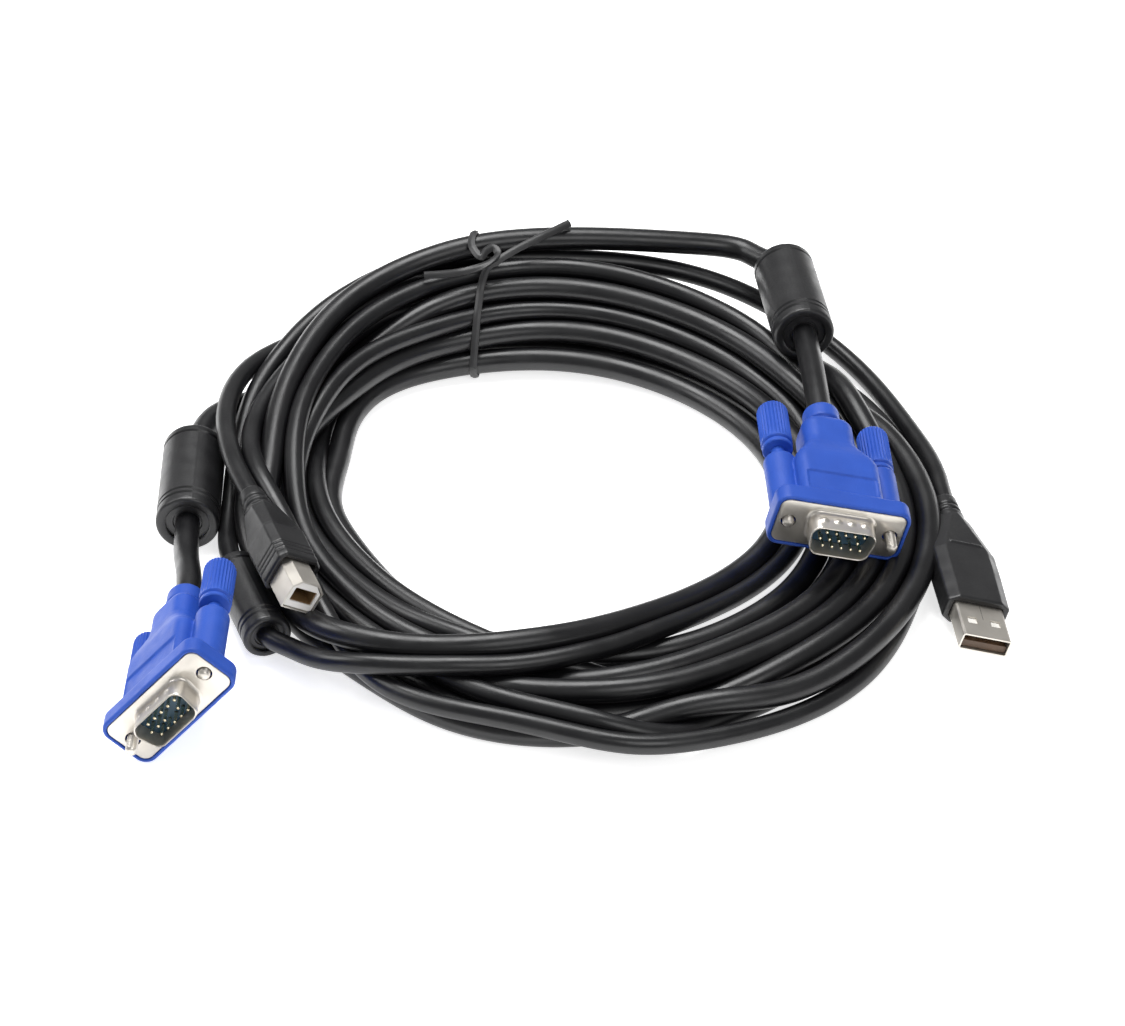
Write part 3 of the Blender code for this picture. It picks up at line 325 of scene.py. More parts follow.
def settle(paths, radii, held, pull, posts, rounds):
    """Push strands clear of each other and of the posts, keep them smooth and on the table."""
    points = np.concatenate(paths)
    radius = np.concatenate([np.full(len(path), r) for path, r in zip(paths, radii)])
    cable = np.concatenate([np.full(len(path), k) for k, path in enumerate(paths)])
    order = np.concatenate([np.arange(len(path)) for path in paths])
    edges = np.cumsum([0] + [len(path) for path in paths])
    parts = [slice(edges[k], edges[k + 1]) for k in range(len(paths))]
    kernels = [bending_kernel(STIFF), bending_kernel(SUPPLE)]
    held = np.concatenate(held)
    pull = np.concatenate(pull)[:, None]
    home = points.copy()
    tangent = np.empty_like(points)
    for turn in range(rounds):
        if turn % 12 == 0:
            first, second = close_pairs(points, cable, order, 9.0)
        for part in parts:
            tangent[part] = np.gradient(points[part], axis=0)
        tangent /= np.linalg.norm(tangent, axis=1)[:, None]
        between = points[first] - points[second]
        along = np.einsum("ij,ij->i", between, tangent[second])
        across = between - along[:, None] * tangent[second]
        distance = np.linalg.norm(across, axis=1) + 1e-9
        need = radius[first] + radius[second] + 0.05
        hit = (np.abs(along) < 0.75 * SPACING) & (distance < need)
        push = across[hit] * ((need[hit] - distance[hit]) / distance[hit])[:, None]
        move = np.zeros_like(points)
        count = np.zeros(len(points))
        np.add.at(move, first[hit], 0.5 * push)
        np.add.at(move, second[hit], -0.5 * push)
        np.add.at(count, first[hit], 1.0)
        np.add.at(count, second[hit], 1.0)
        move /= 0.5 * np.maximum(count, 1.0)[:, None]
        for start, end, thick in posts:
            axis = end - start
            share = np.clip((points - start) @ axis / (axis @ axis), 0.0, 1.0)
            away = points - (start + share[:, None] * axis)
            gap = np.linalg.norm(away, axis=1) + 1e-9
            near = (gap < thick + radius) & ~held
            move[near] += away[near] * (0.7 * (thick + radius - gap)[near] / gap[near])[:, None]
        move += pull * (home - points)
        move[held] = 0.0
        points = points + move
        for part in parts:
            points[part] = straightened(points[part], kernels[turn >= 0.8 * rounds])
        points[held] = home[held]
        near_tie = np.exp(-((points[:, 0] - TIE_MIDDLE[0]) / TIE_LIFT_REACH) ** 2) * (points[:, 1] > 0)
        rest = radius + TIE_LIFT * near_tie
        points[~held, 2] = np.maximum(points[~held, 2], rest[~held])
    return [points[part] for part in parts]


def lay_both():
    """Both cables from plug to plug, as paths in table millimetres."""
    vga = cable_route("vga", plug_exit("switch_vga", HOOD_LENGTH) + SWITCH_VGA_ROUTE,
                      (plug_exit("computer_vga", HOOD_LENGTH) + COMPUTER_VGA_ROUTE)[::-1])
    usb = cable_route("usb", plug_exit("switch_usb_b", USB_B_END) + SWITCH_USB_ROUTE,
                      (plug_exit("computer_usb_a", USB_A_END) + COMPUTER_USB_ROUTE)[::-1])
    held = []
    pull = []
    for points, near_start, near_end in ((vga, 85.0, 95.0), (usb, 40.0, 100.0)):
        still = np.zeros(len(points), bool)
        still[:IN_PLUG] = True
        still[-IN_PLUG:] = True
        held.append(still)
        home = np.full(len(points), COIL_PULL)
        home[:int(near_start / SPACING)] = LEAD_PULL
        home[len(points) - int(near_end / SPACING):] = LEAD_PULL
        pull.append(home)
    for start, end in VGA_FERRITES.values():
        held[0] |= onto_axis(vga, start, end)
    held[1] |= onto_axis(usb, *USB_FERRITE)
    usb_b = plug_matrix("switch_usb_b")
    # Each post is an axis and the radius that the strands keep clear of
    posts = [(np.array(a), np.array(b), 7.9) for a, b in VGA_FERRITES.values()]
    posts.append((np.array(USB_FERRITE[0]), np.array(USB_FERRITE[1]), 5.9))
    posts.append((np.array(usb_b @ Vector((0, 0, 0))), np.array(usb_b @ Vector((0, 24, 0))), 6.2))
    posts.append((np.array(usb_b @ Vector((0, -7, 0))), np.array(usb_b @ Vector((0, 0, 0))), 4.6))
    return settle([vga, usb], [VGA_RADIUS, USB_RADIUS], held, pull, posts, 420)


def linked(name, data):
    """A new object in the scene."""
    made = bpy.data.objects.new(name, data)
    bpy.context.scene.collection.objects.link(made)
    return made


def cable_curve(name, points, radius, finish):
    path = evenly(smooth_route(points[::2], 6), 1.5)
    curve = bpy.data.curves.new(name, "CURVE")
    curve.dimensions = "3D"
    curve.bevel_depth = radius * MM
    curve.bevel_resolution = 5
    curve.use_fill_caps = True
    spline = curve.splines.new("POLY")
    spline.points.add(len(path) - 1)
    for target, point in zip(spline.points, path):
        target.co = (*((point + SHIFT) * MM), 1.0)
    spline.use_smooth = True
    curve.materials.append(finish)
    piece = linked(name, curve)
    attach(piece, BODY)
    length = float(np.linalg.norm(np.diff(path, axis=0), axis=1).sum()) * MM
    return piece, length, (path[0] + SHIFT) * MM


# Materials

def new_material(name, colour, roughness, metallic=0.0):
    made = bpy.data.materials.new(name)
    made.use_nodes = True
    shader = made.node_tree.nodes["Principled BSDF"]
    shader.inputs["Base Color"].default_value = (*colour, 1.0)
    shader.inputs["Roughness"].default_value = roughness
    shader.inputs["Metallic"].default_value = metallic
    return made, made.node_tree, shader


def add_grain(tree, shader, scale, depth, strength, detail=4.0):
    """A fine bump in the object's own space."""
    place = tree.nodes.new("ShaderNodeTexCoord")
    noise = tree.nodes.new("ShaderNodeTexNoise")
    noise.inputs["Scale"].default_value = scale
    noise.inputs["Detail"].default_value = detail
    bump = tree.nodes.new("ShaderNodeBump")
    bump.inputs["Distance"].default_value = depth
    bump.inputs["Strength"].default_value = strength
    tree.links.new(place.outputs["Object"], noise.inputs["Vector"])
    tree.links.new(noise.outputs["Fac"], bump.inputs["Height"])
    tree.links.new(bump.outputs["Normal"], shader.inputs["Normal"])
    return place


def vary(tree, shader, place, socket, low, high, scale):
    """Let a colour or roughness drift between two values over the surface."""
    noise = tree.nodes.new("ShaderNodeTexNoise")
    noise.inputs["Scale"].default_value = scale
    noise.inputs["Detail"].default_value = 3.0
    tree.links.new(place.outputs["Object"], noise.inputs["Vector"])
    ramp = tree.nodes.new("ShaderNodeValToRGB")
    ramp.color_ramp.elements[0].position = 0.35
    ramp.color_ramp.elements[1].position = 0.65
    ramp.color_ramp.elements[0].color = (*low, 1.0)
    ramp.color_ramp.elements[1].color = (*high, 1.0)
    tree.links.new(noise.outputs["Fac"], ramp.inputs["Fac"])
    tree.links.new(ramp.outputs["Color"], shader.inputs[socket])


def patchy(name, low, high, roughness, grain, patches=(250.0, 250.0), metallic=0.0):
    """A material in patches of two colours and two roughnesses, with a grain (scale, depth, strength)."""
    made, tree, shader = new_material(name, high, roughness[1], metallic)
    place = add_grain(tree, shader, *grain)
    if low != high:
        vary(tree, shader, place, "Base Color", low, high, patches[0])
    if roughness[0] != roughness[1]:
        vary(tree, shader, place, "Roughness", *[(value,) * 3 for value in roughness], patches[1])
    return made


def plain_finish(name, colour, roughness):
    darker = tuple(0.8 * c for c in colour)
    return patchy(name, darker, colour, (roughness, roughness), (1500.0, 0.00005, 0.3))


def hood_finish():
    made = patchy("hood_blue", (0.019, 0.074, 0.41), (0.023, 0.086, 0.46), (0.42, 0.52),
                  (2200.0, 0.00008, 0.55, 6.0), (90.0, 300.0))
    made.node_tree.nodes["Principled BSDF"].inputs["Specular IOR Level"].default_value = 0.35
    return made


CABLE = patchy("cable_pvc", (0.004, 0.004, 0.005), (0.008, 0.008, 0.009), (0.29, 0.40),
               (900.0, 0.00006, 0.35), (60.0, 140.0))
MOULDING = patchy("moulded_pvc", (0.010, 0.010, 0.011), (0.017, 0.017, 0.018), (0.30, 0.42),
                  (1400.0, 0.00008, 0.4), (80.0, 200.0))
HOOD = hood_finish()
NICKEL = patchy("nickel_plate", (0.61, 0.575, 0.52), (0.67, 0.635, 0.58), (0.30, 0.38),
                (700.0, 0.00001, 0.25), (160.0, 260.0), 0.82)
TEAL = patchy("insulator_teal", (0.008, 0.052, 0.10), (0.014, 0.070, 0.125), (0.34, 0.34),
              (1800.0, 0.00005, 0.3), (200.0, 200.0))
CORE = patchy("ferrite_core", (0.06, 0.06, 0.062), (0.06, 0.06, 0.062), (0.7, 0.7), (2500.0, 0.0001, 0.6))
USB_INNER = patchy("usb_insulator", (0.74, 0.72, 0.67), (0.84, 0.82, 0.78), (0.42, 0.42),
                   (1500.0, 0.00005, 0.3), (150.0, 150.0))
PIN = patchy("contact_metal", (0.83, 0.74, 0.52), (0.83, 0.74, 0.52), (0.22, 0.22),
             (900.0, 0.00002, 0.3), metallic=1.0)
TIE = plain_finish("tie_black", (0.030, 0.030, 0.031), 0.42)
# Painted shade: the dark of the groove along the USB-A shell's folded seam, given as a colour
PAINTED_SEAM_SHADE = plain_finish("painted_seam_shade", (0.02, 0.019, 0.018), 0.5)
BROWN = plain_finish("carrier_brown", (0.22, 0.13, 0.055), 0.5)
TONGUE = plain_finish("tongue_brown", (0.10, 0.055, 0.028), 0.45)


def dress_nodes():
    """Give every CAD node that stays its finish."""
    endings = [(("_insulator",), TEAL), (("_shell", "_screw"), NICKEL), (("_hood", "_knob"), HOOD),
               (("ferrite_core",), CORE), (("_tongue",), TONGUE), (("_core",), USB_INNER),
               (("_overmould", "_jacket"), MOULDING), (("",), CABLE)]
    for name, node in frame["nodes"].items():
        finish = PIN if "_pin_" in name else next(made for ends, made in endings if name.endswith(ends))
        node.data.materials.clear()
        node.data.materials.append(finish)


# Pieces

def surface(name, rings, finish, matrix, sharp=40.0):
    """A closed surface through rings of equally many points, in millimetres of the matrix's frame."""
    count = len(rings[0])
    vertices = [tuple(point) for ring in rings for point in ring]
    faces = []
    for r in range(len(rings) - 1):
        for k in range(count):
            n = (k + 1) % count
            faces.append((r * count + k, r * count + n, (r + 1) * count + n, (r + 1) * count + k))
    faces.append(tuple(range(count))[::-1])
    faces.append(tuple(range((len(rings) - 1) * count, len(rings) * count)))
    mesh = bpy.data.meshes.new(name)
    mesh.from_pydata(vertices, [], faces)
    work = bmesh.new()
    work.from_mesh(mesh)
    bmesh.ops.remove_doubles(work, verts=work.verts, dist=0.0005)
    bmesh.ops.recalc_face_normals(work, faces=work.faces)
    work.to_mesh(mesh)
    work.free()
    mesh.transform(matrix @ Matrix.Scale(MM, 4))
    mesh.shade_smooth()
    mesh.set_sharp_from_angle(angle=math.radians(sharp))
    mesh.materials.append(finish)
    return linked(name, mesh)


def stand_in(piece, node):
    """The piece takes a CAD node's place and moves with the node's body."""
    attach(piece, frame["nodes"][node]["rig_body"])
    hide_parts(node)
    return piece


def turned(name, profile, sides, finish, matrix, centre=(0.0, 0.0), carved=None):
    """A piece turned about its own Y axis: (radius, y) points, with carved(radius, y, angle) for each one."""
    rings = []
    for radius, y in profile:
        ring = []
        for k in range(sides):
            angle = 2.0 * math.pi * k / sides
            r = radius if carved is None else carved(radius, y, angle)
            ring.append((centre[0] + r * math.cos(angle), y, centre[1] + r * math.sin(angle)))
        rings.append(ring)
    return surface(name, rings, finish, matrix)


def rounded(radius, y, ease, rise, steps):
    """(radius, y) points round an edge, starting at the side: inwards by ease while y changes by rise."""
    turns = [math.pi / 2 * k / steps for k in range(steps + 1)]
    return [(radius - ease * (1 - math.cos(a)), y + rise * math.sin(a)) for a in turns]


def round_node(node, matrix):
    """A round CAD node's start, end, radius and middle in a plug's own frame, in millimetres."""
    back = matrix.inverted()
    points = np.array([back @ v.co for v in frame["nodes"][node].data.vertices]) / MM
    low, high = points.min(0), points.max(0)
    middle = (low + high) / 2
    return low[1], high[1], (high[0] - low[0]) / 2, (middle[0], middle[2])


# Thumbscrews
KNOB_STEM = (1.64, 3.0)       # radius and length
KNOB_RIBS = 30
RIB_DEPTH = 0.26
THREAD_PITCH = 0.635
THREAD_DEPTH = 0.28
THREADED = 14.0               # length of the threaded end


def knob(plug, side):
    """A knurled knob: a thin stem, a plain collar with a groove, fine ribs and a rounded, dished end."""
    node = f"{plug}_{side}_knob"
    matrix = placed(plug)
    start, end, radius, centre = round_node(node, matrix)
    rib_start = start + 2.3
    rib_end = end - 1.5

    def ribs(r, y, angle):
        share = min(1.0, max(0.0, (y - rib_start) / 0.3)) * min(1.0, max(0.0, (end - 0.25 - y) / 0.9))
        return r - RIB_DEPTH * share * (0.5 - 0.5 * math.cos(KNOB_RIBS * angle)) ** 0.7

    stem, stem_length = KNOB_STEM
    profile = [(0.0, start - stem_length), (stem, start - stem_length), (stem, start), (radius - 1.0, start),
               (radius - 0.35, start + 0.08), (radius - 0.15, start + 0.3), (radius - 0.15, start + 1.2),
               (radius - 0.3, start + 1.4), (radius - 0.55, start + 1.6), (radius - 0.55, start + 1.8),
               (radius - 0.2, start + 2.0), (radius, start + 2.2)]
    profile += [(radius, rib_start + (rib_end - rib_start) * k / 6) for k in range(7)]
    profile += rounded(radius, rib_end, 1.3, 1.4, 9)[1:9]
    profile += [(radius - 1.7, end), (radius - 2.1, end - 0.3), (0.0, end - 0.4)]
    piece = turned(f"{node}_ribbed", profile, 6 * KNOB_RIBS, HOOD, matrix, centre, ribs)
    return stand_in(piece, node)


def screw(plug, side):
    """A captive screw: a threaded end, a waist and a plain head inside its knob."""
    node = f"{plug}_{side}_screw"
    matrix = placed(plug)
    start, end, radius, centre = round_node(node, matrix)
    thread_end = start + THREADED

    def thread(r, y, angle):
        if r < radius - 0.01 or y > thread_end:
            return r
        share = (y / THREAD_PITCH - angle / (2.0 * math.pi)) % 1.0
        fade = min(1.0, (thread_end - y) / 0.6)
        return r - THREAD_DEPTH * fade * abs(2.0 * share - 1.0)

    steps = int((thread_end - start - 0.5) / (THREAD_PITCH / 6))
    profile = [(0.0, start), (radius - 0.75, start), (radius - 0.45, start + 0.15)]
    profile += [(radius, start + 0.5 + k * THREAD_PITCH / 6) for k in range(steps)]
    profile += [(radius - 0.32, thread_end + 0.5), (radius - 0.32, start + 26.5), (radius, start + 27.3),
                (radius, end), (0.0, end)]
    piece = turned(f"{node}_threaded", profile, 24, NICKEL, matrix, centre, thread)
    return stand_in(piece, node)


# Ferrites

VGA_SLEEVE = (7.7, 31.0, 3.4)     # radius, length and bore's radius
USB_SLEEVE = (5.8, 27.5, 2.85)


def ferrite(name, size, axis):
    """A moulded ferrite sleeve: grooves, a stepped collar and a parting line on either side."""
    radius, length, bore = size
    start, end = (Vector(p) for p in axis)
    middle = (start + end) / 2.0
    turn = Vector((0, 1, 0)).rotation_difference((end - start).normalized()).to_matrix().to_4x4()
    matrix = Matrix.Translation((middle + Vector(SHIFT)) * MM) @ turn
    half = length / 2
    step = bore + 0.45 * (radius - bore)

    profile = [(bore, -half + 1.2), (bore, -half)]
    profile += rounded(radius, -half + 0.8, 0.8, -0.8, 4)[::-1]
    for y in (-half + 2.6, half - 5.0, half - 3.2):
        profile += [(radius, y - 0.45), (radius - 0.1, y - 0.34), (radius - 0.4, y - 0.1),
                    (radius - 0.4, y + 0.1), (radius - 0.1, y + 0.34), (radius, y + 0.45)]
    profile += rounded(radius, half - 0.8, 0.8, 0.8, 4)
    profile += [(step + 0.3, half), (step, half - 0.25), (step, half - 0.9), (bore + 0.2, half - 0.9),
                (bore, half - 1.2)]
    parting = math.radians(100.0)

    def seam(r, _, angle):
        if r < step:
            return r
        off = abs((angle - parting + math.pi / 2) % math.pi - math.pi / 2)
        return r + 0.07 * math.exp(-(off * r / 0.12) ** 2)

    piece = turned(f"{name}_sleeve", profile, 144, MOULDING, matrix, carved=seam)
    return stand_in(piece, f"{name}_jacket")


# VGA shells
SKIRT = (16.92, 8.36)
SKIRT_CORNER = 2.6
SKIRT_SLANT = math.radians(10.0)
SKIRT_DEPTH = 5.9
SKIRT_WALL = 0.45
DIMPLES = 4
DIMPLE_PITCH = 3.3
DIMPLE_RADIUS = 1.25
DIMPLE_RISE = 0.42
PLATE = (30.81, 12.55)
PLATE_CORNER = 2.2
PLATE_THICK = 0.8
SCREW_PITCH = 24.99
SCREW_HOLE = 1.85


def rounded_outline(corners, radius, arc):
    """Points round a convex outline given anticlockwise, each corner an arc."""
    points = []
    for i, corner in enumerate(corners):
        corner = Vector(corner)
        before = (Vector(corners[i - 1]) - corner).normalized()
        after = (Vector(corners[(i + 1) % len(corners)]) - corner).normalized()
        half = before.angle(after) / 2
        centre = corner + (before + after).normalized() * radius / math.sin(half)
        first = corner + before * radius / math.tan(half) - centre
        last = corner + after * radius / math.tan(half) - centre
        sweep = first.angle(last)
        for k in range(arc + 1):
            share = k / arc
            mix = (math.sin((1 - share) * sweep) * first + math.sin(share * sweep) * last) / math.sin(sweep)
            points.append(centre + mix)
    return points


def spaced(points, gap):
    """The same closed outline with points no further apart than the gap."""
    full = []
    for i, here in enumerate(points):
        there = points[(i + 1) % len(points)]
        parts = max(1, math.ceil((there - here).length / gap))
        full += [here.lerp(there, k / parts) for k in range(parts)]
    return full


def skirt_outline(grow):
    half = SKIRT[1] / 2
    top = SKIRT[0] / 2
    bottom = top - 2.0 * half * math.tan(SKIRT_SLANT)
    corners = [(-bottom, -half), (bottom, -half), (top, half), (-top, half)]
    outline = spaced(rounded_outline(corners, SKIRT_CORNER, 10), 0.3)
    count = len(outline)
    grown = []
    for i, here in enumerate(outline):
        along = (outline[(i + 1) % count] - outline[i - 1]).normalized()
        grown.append(here + Vector((along.y, -along.x)) * grow)
    return grown


def vga_shell(plug):
    """A pressed shell: a plate with two screw holes, and a flared skirt with dimples and a rolled rim."""
    matrix = placed(plug)
    tip = -SKIRT_DEPTH
    levels = [(0.85, 0.75), (0.82, 0.3), (0.8, 0.0), (0.45, -0.12), (0.2, -0.35), (0.06, -0.7), (0.0, -1.1)]
    levels += [(0.0, -1.1 - 0.25 * k) for k in range(1, 17)]
    levels += [(0.0, tip + 0.35), (-0.06, tip + 0.1), (-0.2, tip), (-0.36, tip + 0.08),
               (-SKIRT_WALL, tip + 0.3), (-SKIRT_WALL, -3.0), (-SKIRT_WALL, 0.75)]
    rings = []
    for grow, y in levels:
        ring = []
        for point in skirt_outline(grow):
            z = point.y
            if grow == 0.0:
                for k in range(DIMPLES):
                    off = math.hypot(point.x - (k - (DIMPLES - 1) / 2) * DIMPLE_PITCH, y + 0.48 * SKIRT_DEPTH)
                    if off < DIMPLE_RADIUS and abs(z) > 3.5:
                        rise = 0.5 + 0.5 * math.cos(math.pi * off / DIMPLE_RADIUS)
                        z += math.copysign(DIMPLE_RISE * rise, z)
            ring.append((point.x, y, z))
        rings.append(ring)
    skirt = surface(f"{plug}_shell_skirt", rings, NICKEL, matrix, 50.0)
    wide, high = PLATE
    levels = [(0.22, PLATE_THICK), (0.0, PLATE_THICK - 0.2), (0.0, 0.22), (0.06, 0.08), (0.22, 0.0)]
    rings = [oblong(wide - 2 * inset, high - 2 * inset, PLATE_CORNER - inset, y) for inset, y in levels]
    plate = surface(f"{plug}_shell_plate", rings, NICKEL, matrix, 30.0)
    for side in (-1, 1):
        centre = (side * SCREW_PITCH / 2, 0.0)
        cut_out(plate, turned("hole", [(SCREW_HOLE, -1.0), (SCREW_HOLE, 2.0)], 40, NICKEL, matrix, centre))
    opening = surface("opening", [[(p.x, y, p.y) for p in skirt_outline(-SKIRT_WALL)] for y in (-1.0, 2.0)],
                      NICKEL, matrix)
    cut_out(plate, opening)
    stand_in(skirt, f"{plug}_shell")
    stand_in(plate, f"{plug}_shell")


def cut_out(piece, cutter):
    """Take the cutter's form out of the piece and remove the cutter."""
    cut = piece.modifiers.new("cut", "BOOLEAN")
    cut.operation = "DIFFERENCE"
    cut.object = cutter
    graph = bpy.context.evaluated_depsgraph_get()
    made = bpy.data.meshes.new_from_object(piece.evaluated_get(graph))
    piece.modifiers.clear()
    piece.data = made
    bpy.data.objects.remove(cutter)
    made.shade_smooth()
    made.set_sharp_from_angle(angle=math.radians(30.0))


# Twist tie

def hull(points):
    """The convex outline of flat points, anticlockwise."""
    points = sorted(points)
    sides = []
    for run in (points, points[::-1]):
        side = []
        for p in run:
            while len(side) > 1 and ((side[-1][0] - side[-2][0]) * (p[1] - side[-2][1])
                                     <= (side[-1][1] - side[-2][1]) * (p[0] - side[-2][0])):
                side.pop()
            side.append(p)
        sides += side[:-1]
    return sides


def tie_loop(paths, radii):
    """The tie's way round the strands, from the front of its knot under the coil and back over the crest."""
    across = np.array([*TIE_ACROSS, 0.0])
    normal = np.array([TIE_ACROSS[1], -TIE_ACROSS[0], 0.0])
    middle = np.array([*TIE_MIDDLE, 0.0])
    rim = []
    for path, radius in zip(paths, radii):
        side = (path - middle) @ normal
        for i in np.nonzero(side[:-1] * side[1:] < 0)[0]:
            share = side[i] / (side[i] - side[i + 1])
            spot = path[i] + share * (path[i + 1] - path[i]) - middle
            if abs(spot @ across) > 30.0:
                continue
            step = path[i + 1] - path[i]
            lean = abs(step @ normal) / np.linalg.norm(step)
            reach = radius + TIE_OFFSET
            for a in np.linspace(0.0, 2.0 * math.pi, 24, endpoint=False):
                height = max(0.5, spot[2] + reach * math.sin(a))
                rim.append((float(spot @ across + reach / lean * math.cos(a)), float(height)))
    outline = hull(rim)
    crest = max(range(len(outline)), key=lambda k: outline[k][1])
    outline = np.array(outline[crest:] + outline[:crest + 1])
    flat = evenly(np.column_stack([outline, np.zeros(len(outline))]), 1.2)[:, :2]
    flat = flat[int(np.argmax(flat[:, 0] < TIE_FRONT)):]
    share = np.linspace(0.0, 1.0, len(flat))
    late = np.clip((share - 0.45) / 0.3, 0.0, 1.0)
    late = late * late * (3.0 - 2.0 * late)
    loop = middle + flat[:, :1] * across + late[:, None] * np.array(TIE_SHIFT)
    loop[:, 2] = flat[:, 1]
    return loop


def tie_sides(path, tangent):
    """The direction of the tie's width at each point, which turns towards the camera at both ends."""
    sideways = np.empty_like(path)
    start = int(np.argmin(path[:, 2]))
    sideways[start] = (TIE_ACROSS[1], -TIE_ACROSS[0], 0.0)
    for run in (range(start + 1, len(path)), range(start - 1, -1, -1)):
        before = start
        for i in run:
            kept = sideways[before] - (sideways[before] @ tangent[i]) * tangent[i]
            sideways[i] = kept / np.linalg.norm(kept)
            before = i
    for i in [*range(TIE_TURN), *range(len(path) - TIE_TURN, len(path))]:
        from_end = min(i, len(path) - 1 - i) / TIE_TURN
        share = min(1.0, max(0.0, 1.6 - 1.6 * from_end))
        flat = np.cross(tangent[i], AHEAD)
        flat *= math.copysign(1.0, flat @ sideways[i]) / np.linalg.norm(flat)
        mixed = (1.0 - share) * sideways[i] + share * flat
        sideways[i] = mixed / np.linalg.norm(mixed)
    return sideways


def twist_tie(paths, radii):
    """A flat tie with a wire inside, wrapped round the strands, knotted in front of the crest."""
    right = [from_photo(*spot) for spot in TIE_RIGHT_END]
    left = [from_photo(*spot) for spot in TIE_LEFT_END]
    path = evenly(smooth_route(right + list(tie_loop(paths, radii)[::3]) + left, 8), 0.35)
    tangent = np.gradient(path, axis=0)
    tangent /= np.linalg.norm(tangent, axis=1)[:, None]
    top = TIE_PROFILE + [(-x, z) for x, z in TIE_PROFILE[::-1]]
    section = top + [(x, -z) for x, z in top[-2:0:-1]]
    rings = []
    for spot, ahead, side in zip(path, tangent, tie_sides(path, tangent)):
        up = np.cross(side, ahead)
        rings.append([spot + x * TIE_SECTION[0] / 2 * side + z * TIE_SECTION[1] / 2 * up + SHIFT
                      for x, z in section])
    piece = surface("twist_tie_strip", rings, TIE, Matrix.Identity(4), 60.0)
    return stand_in(piece, "twist_tie")


# Mouldings

# Along the hood's body, from behind the flange to the neck: y, width, height and corner
HOOD_STATIONS = [
    (3.5, 20.6, 14.2, 2.6), (17.8, 20.6, 14.2, 2.6), (18.9, 20.3, 14.1, 2.6), (20.4, 19.5, 13.8, 2.7),
    (22.2, 17.6, 13.1, 2.9), (24.2, 15.3, 12.2, 3.1), (26.2, 13.5, 11.5, 3.3), (28.3, 12.8, 11.2, 3.4),
    (34.6, 12.8, 11.2, 3.4), (35.6, 12.3, 10.8, 3.5), (36.3, 11.2, 10.0, 3.6), (36.8, 9.4, 9.2, 4.0)]
NECK_RADIUS = 4.55
NECK_GROOVE = 3.75
FLANGE = (33.0, 14.8)
FLANGE_CORNER = 3.2
BOSS_RADIUS = 3.95
BOSS_END = 22.0
BORE = 1.72
SEAT_GAP = 0.3
RECESS = (17.3, 6.6, 0.5)     # the bare panel: width, length and depth
RECESS_START = 5.5
CONTACT_SPACE = (18.4, 9.4, 10.6)


def oblong(width, height, corner, y, arc=10, middle=(0.0, 0.0)):
    """A ring at y: a rectangle with round corners."""
    x, z = width / 2, height / 2
    outline = rounded_outline([(-x, -z), (x, -z), (x, z), (-x, z)], min(corner, x - 0.01, z - 0.01), arc)
    return [(p.x + middle[0], y, p.y + middle[1]) for p in outline]


def block(name, stations, finish, matrix, middle=(0.0, 0.0)):
    """A piece with round corners through stations of y, width, height and corner."""
    rings = [oblong(w, h, corner, y, 10, middle) for y, w, h, corner in stations]
    return surface(name, rings, finish, matrix)


def fused(name, parts, finish, voxel, rounds):
    """Overlapping closed parts as one moulding, with its edges and joins eased."""
    work = bmesh.new()
    for part in parts:
        work.from_mesh(part.data)
    mesh = bpy.data.meshes.new(name)
    work.to_mesh(mesh)
    work.free()
    for part in parts:
        bpy.data.objects.remove(part)
    mesh.materials.append(finish)
    piece = linked(name, mesh)
    skin = piece.modifiers.new("skin", "REMESH")
    skin.mode = "VOXEL"
    skin.voxel_size = voxel * MM
    skin.use_smooth_shade = True
    ease = piece.modifiers.new("ease", "SMOOTH")
    ease.factor = 0.5
    ease.iterations = rounds
    return piece


